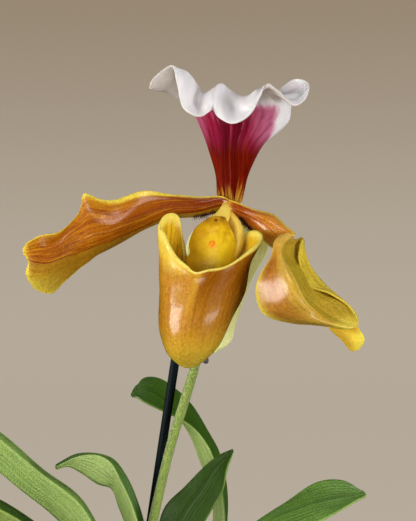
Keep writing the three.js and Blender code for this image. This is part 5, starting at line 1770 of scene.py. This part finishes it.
    def _rootstock(self) -> None:
        """Two crowns, the rhizome between them and the roots that show."""
        parts = []
        for centre, radius in self.crowns:
            vertices, *rest = turned_mesh([
                (0, 70), (0.7 * radius, 70), (radius, 73), (radius, 77.2), (radius - 0.3, 78.4),
                (radius - 0.9, 79.3), (radius - 2, 79.7), (0.5 * radius, 79.8), (0, 79.8),
            ], 64)
            swell = unit(vertices * [1, 1, 0]) * (0.35 * Ripples(5).at(vertices, 5.0))[:, None]
            parts.append((vertices + swell + [*centre, 0], *rest))
        rhizome = line_at([[*MAIN_GROWTH, 73], [2, 14, 72.5], [*SECOND_GROWTH, 73]], np.linspace(0, 1, 40))
        parts.append(tube_mesh(rhizome, lambda s, a: self.rhizome_radius * (1 + 0.06 * np.sin(40 * s)), 24))
        for number, (growth, route) in enumerate(self.roots):
            path = line_at(np.array(route) + [*growth, 0], np.linspace(0, 1, 60))
            path = path + 0.25 * np.sin(path[:, [2, 0, 1]] * 0.9 + number)
            parts.append(tube_mesh(path, lambda s, a: self.root_radius * (1 + 0.07 * np.sin(30 * s + a)), 20))
        downy = PlainFinish("downy root", tone(126, 92, 58), tone(92, 62, 38), 0.85, 140.0, 1600.0, 0.0003, (
            ("Sheen Weight", 0.4),))
        new_piece("crowns_and_roots", merged(parts), [downy], "rootstock")


# ---------------------------------------------------------------- leaves


class Side(Enum):
    """The side of the growth that a leaf's keel faces."""

    LEFT = -1
    RIGHT = 1


@dataclass(frozen=True)
class Leaf:
    """One strap leaf: where it grows from, how wide its sheath is, and its finish's name and colours."""

    name: str
    growth: tuple[float, float]
    side: Side
    sheath: float
    finish: str
    upper: Colour = tone(84, 122, 40)
    under: Colour = tone(144, 168, 82)
    keel: Colour = tone(168, 190, 98)

    def finishes(self) -> list[LeafFinish]:
        """The finishes of the sheet's two sides, which swap with the side that the keel faces."""
        under = LeafFinish(f"{self.finish} under", self.under, self.keel, 0.08)
        return [LeafFinish(f"{self.finish} upper", self.upper), under][::-self.side.value]


@dataclass
class Foliage:
    """The ten leaves of the two growths."""

    foot_height: float = 80.0
    sheath_height: float = 7.0
    sheath_gap: float = 0.5
    sheath_camber: float = 0.2
    blade_camber: float = 0.06
    half_thickness: float = 0.45
    steps_along: int = 130
    steps_half: int = 14
    # Each leaf's tones are its own, set so that it shows as light or as dark as it does in its place: besides
    # the leaf's green they hold part of the light and shade on it as painted light and shade.
    leaves: tuple[Leaf, ...] = (
        Leaf("leaf_left_curled", MAIN_GROWTH, Side.LEFT, 3.2, "curled leaf",
             tone(88, 126, 52), tone(166, 192, 112), tone(182, 204, 124)),
        Leaf("leaf_middle", MAIN_GROWTH, Side.RIGHT, 4.6, "middle leaf",
             tone(64, 98, 26), tone(112, 146, 52), tone(140, 168, 74)),
        Leaf("leaf_left_long", MAIN_GROWTH, Side.LEFT, 6.0, "long leaf",
             tone(138, 172, 88), tone(156, 186, 102), tone(180, 202, 118)),
        Leaf("leaf_right", MAIN_GROWTH, Side.RIGHT, 7.4, "right leaf",
             tone(112, 154, 64), tone(138, 170, 78), tone(164, 194, 98)),
        Leaf("leaf_left_low", MAIN_GROWTH, Side.LEFT, 8.8, "low leaf"),
        Leaf("leaf_front", MAIN_GROWTH, Side.RIGHT, 10.2, "front leaf"),
        Leaf("leaf_back_tall", SECOND_GROWTH, Side.LEFT, 3.2, "tall leaf",
             tone(60, 96, 16), tone(178, 204, 118), tone(190, 212, 130)),
        Leaf("leaf_back_right", SECOND_GROWTH, Side.RIGHT, 4.6, "back right leaf"),
        Leaf("leaf_back_young", SECOND_GROWTH, Side.RIGHT, 1.8, "young leaf",
             tone(98, 150, 58), tone(120, 160, 70)),
        Leaf("leaf_back_left", SECOND_GROWTH, Side.LEFT, 6.0, "back left leaf"),
    )

    def build(self) -> None:
        """Builds and dresses every leaf."""
        for number, leaf in enumerate(self.leaves):
            grid, places = self._grid(leaf)
            u = np.linspace(0, 1, grid.shape[1])
            keel = 1 + 0.5 * np.exp(-((u - 0.5) / 0.05) ** 2)
            half = self.half_thickness * margin_taper(u, 0.1, 0.45) * keel
            height = 0.28 * smoothstep(places, 0.15, 0.4)[:, None]
            grid = Ripples(31 + number, 8).lift(grid, height, 26.0)
            sheet = SheetMesh(grid, half * margin_taper(places, 0.012, 0.4)[:, None], u, places)
            sheet.piece(f"{leaf.name}_blade", leaf.finishes(), "leaf", leaf.name)

    def _grid(self, leaf: Leaf) -> tuple[np.ndarray, np.ndarray]:
        """Lays out a leaf's surface, from its sheath to its tip.

        Args:
            leaf: The leaf.

        Returns:
            The surface's points, and the places of its rows, from 0 to 1.
        """
        x, y = leaf.growth
        edge, keel = x + leaf.side.value * self.sheath_gap, x + leaf.side.value * leaf.sheath
        feet = [
            [[edge, y - leaf.sheath, height + 1], [keel, y, height], [edge, y + leaf.sheath, height + 1]]
            for height in (self.foot_height, self.foot_height + self.sheath_height)
        ]
        rows = np.array([*feet, *LEAF_ROWS[leaf.name]], float)
        places = np.linspace(0, 1, self.steps_along)
        near, keel, far = line_at(rows, places, spacing=Spacing.CENTRIPETAL).swapaxes(0, 1)
        share = np.clip(places * (len(rows) - 1) / 2, 0, 1)
        camber = self.sheath_camber + (self.blade_camber - self.sheath_camber) * share
        left, right = self._half(keel, near, far, camber), self._half(keel, far, near, camber)
        return np.concatenate([left[:, ::-1], right[:, 1:]], axis=1), places

    def _half(self, keel: np.ndarray, margin: np.ndarray, other: np.ndarray, camber: np.ndarray,
              ) -> np.ndarray:
        """Half of a leaf, which bulges away from the other half.

        Args:
            keel: The points of the keel.
            margin: Those of this half's margin.
            other: Those of the other half's margin.
            camber: How far each row bulges, as a share of its width.

        Returns:
            The half's points, along it and from the keel to the margin.
        """
        chord, outward = margin - keel, keel - other
        along = unit(chord)
        outward = unit(outward - along * np.sum(outward * along, axis=1, keepdims=True))
        share = np.linspace(0, 1, self.steps_half + 1)[None, :, None]
        length = np.linalg.norm(chord, axis=1)[:, None, None]
        bulge = 4 * camber[:, None, None] * length * share * (1 - share)
        return keel[:, None] + chord[:, None] * share + outward[:, None] * bulge


# ---------------------------------------------------------------- stem, ovary, stake and clip


def hair_mesh(roots: np.ndarray, directions: np.ndarray, lengths: np.ndarray, width: float) -> Skin:
    """Fine tapered hairs with three sides each.

    Args:
        roots: Where each hair starts.
        directions: Each hair's unit direction.
        lengths: Each hair's length.
        width: The radius at the root.

    Returns:
        Their corners, faces and pattern places.
    """
    helper = np.where(np.abs(directions[:, 2:]) < 0.8, [[0.0, 0.0, 1.0]], [[1.0, 0.0, 0.0]])
    first = unit(np.cross(directions, helper))
    second = np.cross(directions, first)
    angles = (0, 2 * math.pi / 3, 4 * math.pi / 3)
    corners = [roots + width * (math.cos(angle) * first + math.sin(angle) * second) for angle in angles]
    vertices = np.stack([*corners, roots + directions * lengths[:, None]], 1).reshape(-1, 3)
    faces = []
    for a in range(0, 4 * len(roots), 4):
        faces += [(a, a + 1, a + 3), (a + 1, a + 2, a + 3), (a + 2, a, a + 3), (a + 2, a + 1, a)]
    return vertices, faces, np.zeros((3 * len(faces), 2))


@dataclass
class FlowerStalk:
    """The downy stem and ovary with their bract, and the stake that a clip holds them to."""

    stem_radius: float = 1.65
    stake_radius: float = 1.55
    ovary_radius: float = 2.3
    ovary_rib: float = 0.25
    hairs_per_mm: float = 17.0
    hair_length: float = 0.42
    hair_width: float = 0.035
    hair_seed: int = 17
    half_bract: float = 0.35
    clip_heights: tuple[float, float] = (174.7, 177.7)
    clip_rise: float = 2.4
    clip_wall: float = 0.85
    clip_clearance: float = 0.35
    clip_ease: float = 0.25
    clip_sides: int = 80
    tab_size: tuple[float, float, float] = (1.9, 2.6, 2.4)

    def build(self) -> None:
        """Builds and dresses the pieces."""
        self._stalks()
        self._bract()
        self._stake()
        self._clip()

    def _stem_girth(self, share: np.ndarray, angle: np.ndarray) -> np.ndarray:
        """The stem's radius along its length."""
        return self.stem_radius * (1 + 0.02 * np.sin(23 * share))

    def _ovary_girth(self, share: np.ndarray, angle: np.ndarray) -> np.ndarray:
        """The ovary's radius along its length and round it."""
        girth = self.ovary_radius * (1 - 0.24 * np.cos(np.pi * share) ** 2 * (1 - share))
        return girth + self.ovary_rib * np.cos(6 * angle) * np.sin(np.pi * share)

    def _stalks(self) -> None:
        """The stem, the ribbed ovary and the down on both."""
        stem_path = line_at(STEM_PATH, np.linspace(0, 1, 160))
        ovary_path = line_at(OVARY_PATH, np.linspace(0, 1, 110))
        stem, ovary = tube_mesh(stem_path, self._stem_girth, 32), tube_mesh(ovary_path, self._ovary_girth, 60)
        new_piece("stem_skin", stem, [StalkFinish("downy stem")], "flower_stem")
        new_piece("ovary_skin", ovary, [StalkFinish("ribbed ovary", cover=0.4, ribs=6.0)], "ovary")
        draw = np.random.default_rng(self.hair_seed)
        hairs = merged([
            self._down(draw, stem_path, lambda share, angle: self.stem_radius * 0.94),
            self._down(draw, ovary_path, lambda share, angle: self._ovary_girth(share, angle) * 0.9),
        ])
        down = PlainFinish("stem down", tone(122, 86, 80), tone(158, 130, 120), 0.7, 300.0)
        new_piece("stem_down", hairs, [down], smooth=False)

    def _down(self, draw: np.random.Generator, path: np.ndarray, girth: Callable) -> Skin:
        """Short hairs all over a stalk.

        Args:
            draw: The source of the random numbers.
            path: The points of the stalk's axis.
            girth: The distance of the hairs' roots from it, by share of the length and angle.

        Returns:
            The hairs.
        """
        count = int(np.linalg.norm(np.diff(path, axis=0), axis=1).sum() * self.hairs_per_mm)
        share, angle = draw.uniform(0.01, 0.97, count), draw.uniform(0, 2 * np.pi, count)
        where = share * (len(path) - 1)
        low = where.astype(int)
        step = path[low + 1] - path[low]
        tangent = unit(step)
        first = unit(np.cross(tangent, [0.0, 1.0, 0.02]))
        out = np.cos(angle)[:, None] * first + np.sin(angle)[:, None] * np.cross(tangent, first)
        lean = out + 0.5 * tangent * draw.normal(0.2, 0.5, (count, 1)) + 0.25 * draw.normal(size=(count, 3))
        lengths = self.hair_length * draw.uniform(0.6, 1.25, count) + 0.15
        away = (girth(share, angle) * np.ones(count))[:, None]
        roots = path[low] + step * (where - low)[:, None] + out * away
        return hair_mesh(roots, unit(lean), lengths, self.hair_width)

    def _bract(self) -> None:
        """The spotted bract behind the ovary."""
        across, along = crowded(40), crowded(60)
        grid = loft(BRACT_ROWS, across, along)
        half = self.half_bract * margin_taper(across, 0.12, 0.4) * margin_taper(along, 0.03, 0.5)[:, None]
        spotted = StalkFinish("spotted bract", tone(150, 172, 84), down=tone(104, 60, 54), cover=0.3)
        SheetMesh(grid, half, across, along).piece("bract_blade", [spotted], "stem", "bract")

    def _stake(self) -> None:
        """A smooth round stake with a rounded top."""
        end = 1 - 0.0095 * np.cos(np.linspace(0, np.pi / 2, 10))
        places = np.concatenate([[0.0], np.linspace(0.001, 0.985, 40), end])
        depth = (1 - places) * np.linalg.norm(STAKE_RUN) / self.stake_radius
        girth = self.stake_radius * np.sqrt(np.clip(1 - np.clip(1 - depth, 0, 1) ** 2, 0.0004, 1))
        rod = tube_mesh(STAKE_FOOT + STAKE_RUN * places[:, None], lambda s, a: girth[:, None], 36)
        coated = PlainFinish("coated stake", tone(3, 12, 14), tone(6, 18, 20), 0.6, 80.0, 900.0, 0.00005, (
            ("Specular IOR Level", 0.12),))
        new_piece("stake_rod", rod, [coated], "stake")

    def _clip_loop(self, height: float, distance: float) -> np.ndarray:
        """A loop round the stem and the stake.

        Args:
            height: Its height at the stem.
            distance: Its distance from both.

        Returns:
            The loop's points.
        """
        stem = line_at(STEM_PATH, np.linspace(0, 1, 401))
        stem_point = stem[np.abs(stem[:, 2] - height).argmin()]
        stake_point = STAKE_FOOT + STAKE_RUN * (height + self.clip_rise - STAKE_FOOT[2]) / STAKE_RUN[2]
        axis = math.atan2(stake_point[1] - stem_point[1], stake_point[0] - stem_point[0])
        angle = axis + 2 * np.pi * (np.arange(self.clip_sides) + 0.5) / self.clip_sides
        at_stake = np.cos(angle - axis) > 0
        centre = np.where(at_stake[:, None], stake_point, stem_point)
        centre[:, 2] = height + np.where(at_stake, self.clip_rise, 0)
        radius = distance + np.where(at_stake, self.stake_radius, self.stem_radius)
        return centre + radius[:, None] * np.stack([np.cos(angle), np.sin(angle), 0 * angle], 1)

    def _clip(self) -> None:
        """The plastic clip with its tab."""
        (low, high), inner, ease = self.clip_heights, self.clip_clearance, self.clip_ease
        outer = inner + self.clip_wall
        loops = np.concatenate([self._clip_loop(height, distance) for height, distance in (
            (low, inner + ease), (low, outer - ease), (low + ease, outer), (high - ease, outer),
            (high, outer - ease), (high, inner + ease), (high - ease, inner), (low + ease, inner),
        )])
        count = self.clip_sides
        i, j = (part.ravel() for part in np.mgrid[:len(loops) // count, :count])
        faces = np.stack([i, i, i + 1, i + 1], 1) * count + np.stack([j, j + 1, j + 1, j], 1) % count
        ring = loops, (faces % len(loops)).tolist(), np.zeros((4 * len(faces), 2))
        corners, *rest = turned_mesh(round_profile(25, 0.6), 40)
        swollen = np.sign(corners) * np.abs(corners) ** 0.85
        tab = swollen * np.array(self.tab_size) / 2 + TAB_CENTRE, *rest
        plastic = PlainFinish("clip plastic", tone(62, 58, 72), tone(84, 80, 94), 0.4, 60.0, 900.0, 0.00004)
        clip = new_piece("clip_loop", merged([ring, tab]), [plastic], "clip")
        clip.data.set_sharp_from_angle(angle=math.radians(50))


# ---------------------------------------------------------------- the bloom


@dataclass(frozen=True)
class Blade:
    """One thin part of the bloom, through rows of points from the heart.

    The midrib has its place across in each row; the band is the share of the width that a margin's
    rounding takes, and the least share of the thickness is what stays at the margins.
    """

    name: str
    rows: Sequence[Row]
    finishes: tuple[Finish, ...]
    slot: str
    replaces: str
    columns: int
    steps: int
    ripple: float
    seed: int
    half: float = 0.4
    midrib: tuple[float, ...] = (0.5,)
    band: float = 0.04
    least: float = 0.45

    def build(self) -> None:
        """Builds and dresses the part, with a fine unevenness of its own."""
        across, along = crowded(self.columns), crowded(self.steps, 0.6)
        grid = Ripples(self.seed).lift(loft(self.rows, across, along) + HEART, self.ripple, 9.0)
        edges = margin_taper(across, self.band, self.least) * margin_taper(along, 0.015, self.least)[:, None]
        middle = np.interp(along, np.linspace(0, 1, len(self.midrib)), self.midrib)[:, None]
        u = np.where(across < middle, 0.5 * across / middle, 0.5 + 0.5 * (across - middle) / (1 - middle))
        SheetMesh(grid, self.half * edges, u, along).piece(self.name, self.finishes, self.slot, self.replaces)


@dataclass
class Bloom:
    """The flower: its sepals, petals, pouch and column."""

    blades: tuple[Blade, ...] = (
        Blade("dorsal_sepal_blade", DORSAL_ROWS, (SepalFace(), SepalHood()), "dorsal_sepal", "dorsal_sepal",
              230, 150, 0.05, 41, band=0.02, least=0.5,
              midrib=(0.5, 0.5, 0.5, 0.444, 0.4545, 0.46, 0.465, 0.47)),
        Blade("petal_left_blade", [LEFT_PETAL_ROOT, *LEFT_PETAL_ROWS], (
            PetalFinish("left petal face"),
            PetalFinish("left petal back", flush=tone(180, 116, 24), deep=tone(150, 80, 12)),
        ), "petal", "petal_left", 80, 170, 0.14, 42, midrib=(
            0.3, 0.3, 0.3, 0.17, 0.1, 0.25, 0.255, 0.26, 0.245, 0.23, 0.36, 0.5, 0.55, 0.55,
        )),
        Blade("petal_right_blade", [RIGHT_PETAL_ROOT, *RIGHT_PETAL_ROWS], (
            PetalFinish(
                "right petal face", gold=tone(236, 180, 62), flush=tone(214, 130, 30), deep=tone(170, 62, 8),
                vein=tone(156, 60, 8), olive=tone(228, 184, 62), lobe=tone(224, 198, 64),
                late=tone(222, 198, 62),
                flush_along=((0.0, 0.3), (0.03, 1.0), (0.2, 0.85), (0.32, 0.6), (0.38, 0.0), (1.0, 0.0)),
                deep_end=0.2, low_edge=0.14, fade=0.14,
                rim_along=((0.0, 0.06), (0.34, 0.06), (0.4, 0.02), (1.0, 0.02)),
            ),
            FoldedPetalFinish(),
        ), "petal", "petal_right", 96, 210, 0.1, 43),
        # the tongue's darker top is painted shadow under the petal margin above it
        Blade("petal_right_tongue", PETAL_TONGUE_ROWS, (
            ColumnFinish("petal tongue", tone(244, 220, 80), tone(216, 172, 48)),
        ), "petal", "", 40, 60, 0.08, 48),
        Blade("synsepal_blade", SYNSEPAL_ROWS, (SynsepalFinish(),), "synsepal", "synsepal", 60, 90, 0.12, 44),
    )
    half_pouch: float = 0.45
    pouch_columns: int = 220
    pouch_steps: int = 140
    shields: tuple[Blade, ...] = (
        Blade("column_shield", SHIELD_ROWS, (ColumnFinish(
            "shield", tone(244, 206, 34), tone(204, 152, 14), stain_top=0.2,
            glow_centre=tuple(BOSS_CENTRE + HEART), dot_centre=(16.4, -21.4, 223.2),
        ),), "column", "column", 60, 70, 0.08, 46, 0.65, band=0.12, least=0.35),
        Blade("column_lobe", SHIELD_LOBE_ROWS, (ColumnFinish(
            "shield lobe", tone(244, 212, 98), tone(228, 188, 76), rim=tone(248, 232, 144),
        ),), "column", "", 36, 50, 0.06, 47, 0.45, band=0.15, least=0.35),
    )
    boss_size: Point = (1.25, 1.1, 1.6)
    boss_offset: Point = (0.1, 1.1, -0.1)
    tooth_radius: float = 0.64
    tuft_hair: float = 0.14
    tuft_seed: int = 19

    def build(self) -> None:
        """Builds and dresses the pieces."""
        for blade in self.blades:
            blade.build()
        self._pouch()
        for shield in self.shields:
            shield.build()
        self._stalk()
        self._boss()
        self._tooth()
        self._tufts()

    def _pouch(self) -> None:
        """The slipper, with a thick rounded rim."""
        columns = self.pouch_columns
        along = np.sin(np.linspace(0.012, np.pi / 2, self.pouch_steps))
        first = np.array(POUCH_RINGS[0], float)
        opposite = 2 * POUCH_TOE - first
        opposite[:, 2] = first[:, 2]
        rings = [opposite, np.tile(POUCH_TOE, (len(first), 1)), *POUCH_RINGS]
        spans = len(rings) - 1
        across = np.linspace(0, 1, columns, endpoint=False)
        grid = loft(rings, across, (1 + along * (spans - 1)) / spans, closed=True) + HEART
        grid = Ripples(45).lift(np.roll(grid, columns // 2, axis=1), 0.12, 10.0, closed=True)
        edge = np.maximum(np.sqrt(1 - np.clip((along - 0.985) / 0.015, 0, 1) ** 2), 0.25)
        half = self.half_pouch * (1 + 0.45 * smoothstep(along, 0.9, 0.975)) * edge
        poles = [POUCH_TOE + HEART + [0, 0, side * self.half_pouch] for side in (-1, 1)]
        sheet = SheetMesh(grid, half[:, None], np.linspace(0, 1, columns + 1), along, True, poles)
        sheet.piece("pouch_shell", [PouchFinish(), PouchLining()], "pouch", "pouch")

    def _stalk(self) -> None:
        """The column's upper side: narrow at its root, with a ridge down its front."""
        path = line_at(COLUMN_PATH, np.linspace(0, 1, 48)) + HEART
        tangent = unit(np.gradient(path, axis=0))
        side = unit(np.array([1.0, 0.0, 0.0]) - tangent * tangent[:, :1])
        front = np.cross(side, tangent)
        share = np.linspace(0, 1, len(path))[:, None]
        angle = np.linspace(0, 2 * np.pi, 56, endpoint=False)[None, :]
        width = (0.7 + 2.7 * share) * np.cos(angle)
        ridge = 1 + 0.55 * np.exp(-((np.cos(angle) - 0.1) / 0.26) ** 2) * (np.sin(angle) > 0)
        depth = (0.9 + 0.7 * share) * ridge * np.sin(angle)
        rings = path[:, None] + width[..., None] * side[:, None] + depth[..., None] * front[:, None]
        waxy = ColumnFinish("column stalk", tone(236, 206, 92), tone(218, 178, 64))
        new_piece("column_stalk", skinned_rings(rings, path[0], path[-1]), [waxy])

    def _boss(self) -> None:
        """The slightly uneven orange boss."""
        vertices, *rest = turned_mesh(round_profile(21), 32)
        vertices = vertices * (1 + 0.08 * Ripples(48, 6).at(vertices, 1.3))[:, None]
        vertices = vertices * self.boss_size + (BOSS_CENTRE + HEART + self.boss_offset)
        glossy = ColumnFinish("boss", tone(250, 150, 10), tone(250, 140, 10), 0.4)
        new_piece("column_boss", (vertices, *rest), [glossy])

    def _tooth(self) -> None:
        """The tooth below the boss."""
        path = line_at(TOOTH_PATH, np.linspace(0, 1, 24)) + HEART
        tooth = tube_mesh(path, lambda s, a: self.tooth_radius * (1 - 0.4 * s ** 2), 20)
        waxy = ColumnFinish("tooth", tone(240, 206, 96), tone(220, 180, 80))
        new_piece("column_tooth", tooth, [waxy])

    def _tufts(self) -> None:
        """Dark hairs along the lower margins of both petals, near their roots."""
        draw = np.random.default_rng(self.tuft_seed)
        parts = []
        for rows, column, first, last, count in (
            (LEFT_PETAL_ROWS, 0.04, 0.02, 0.1, 90), (RIGHT_PETAL_ROWS, 0.97, 0.01, 0.085, 130),
        ):
            along = np.sort(draw.uniform(first, last, count))
            edge, middle = (loft(rows, np.array([column, 0.5]), along) + HEART).swapaxes(0, 1)
            out = unit(edge - middle)
            lean = 0.8 * out + [-0.2, -0.9, -0.2] + 0.3 * draw.normal(size=(count, 3))
            roots = edge - out * draw.uniform(0.1, 1.2, (count, 1)) + [0, -0.35, 0]
            parts.append(hair_mesh(roots, unit(lean), draw.uniform(1.4, 2.8, count), self.tuft_hair))
        maroon = PlainFinish("petal hairs", tone(62, 20, 18), tone(84, 34, 26), 0.5)
        new_piece("petal_hairs", merged(parts), [maroon], smooth=False)


# ---------------------------------------------------------------- the whole plant


def main() -> None:
    """Builds the plant piece by piece."""
    logging.basicConfig(level=logging.INFO, format="%(name)s: %(message)s")
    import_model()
    for part in (Studio(), Potting(), Foliage(), FlowerStalk(), Bloom()):
        part.build()
        LOG.info("%s is built", type(part).__name__)


if __name__ == "__main__":
    main()
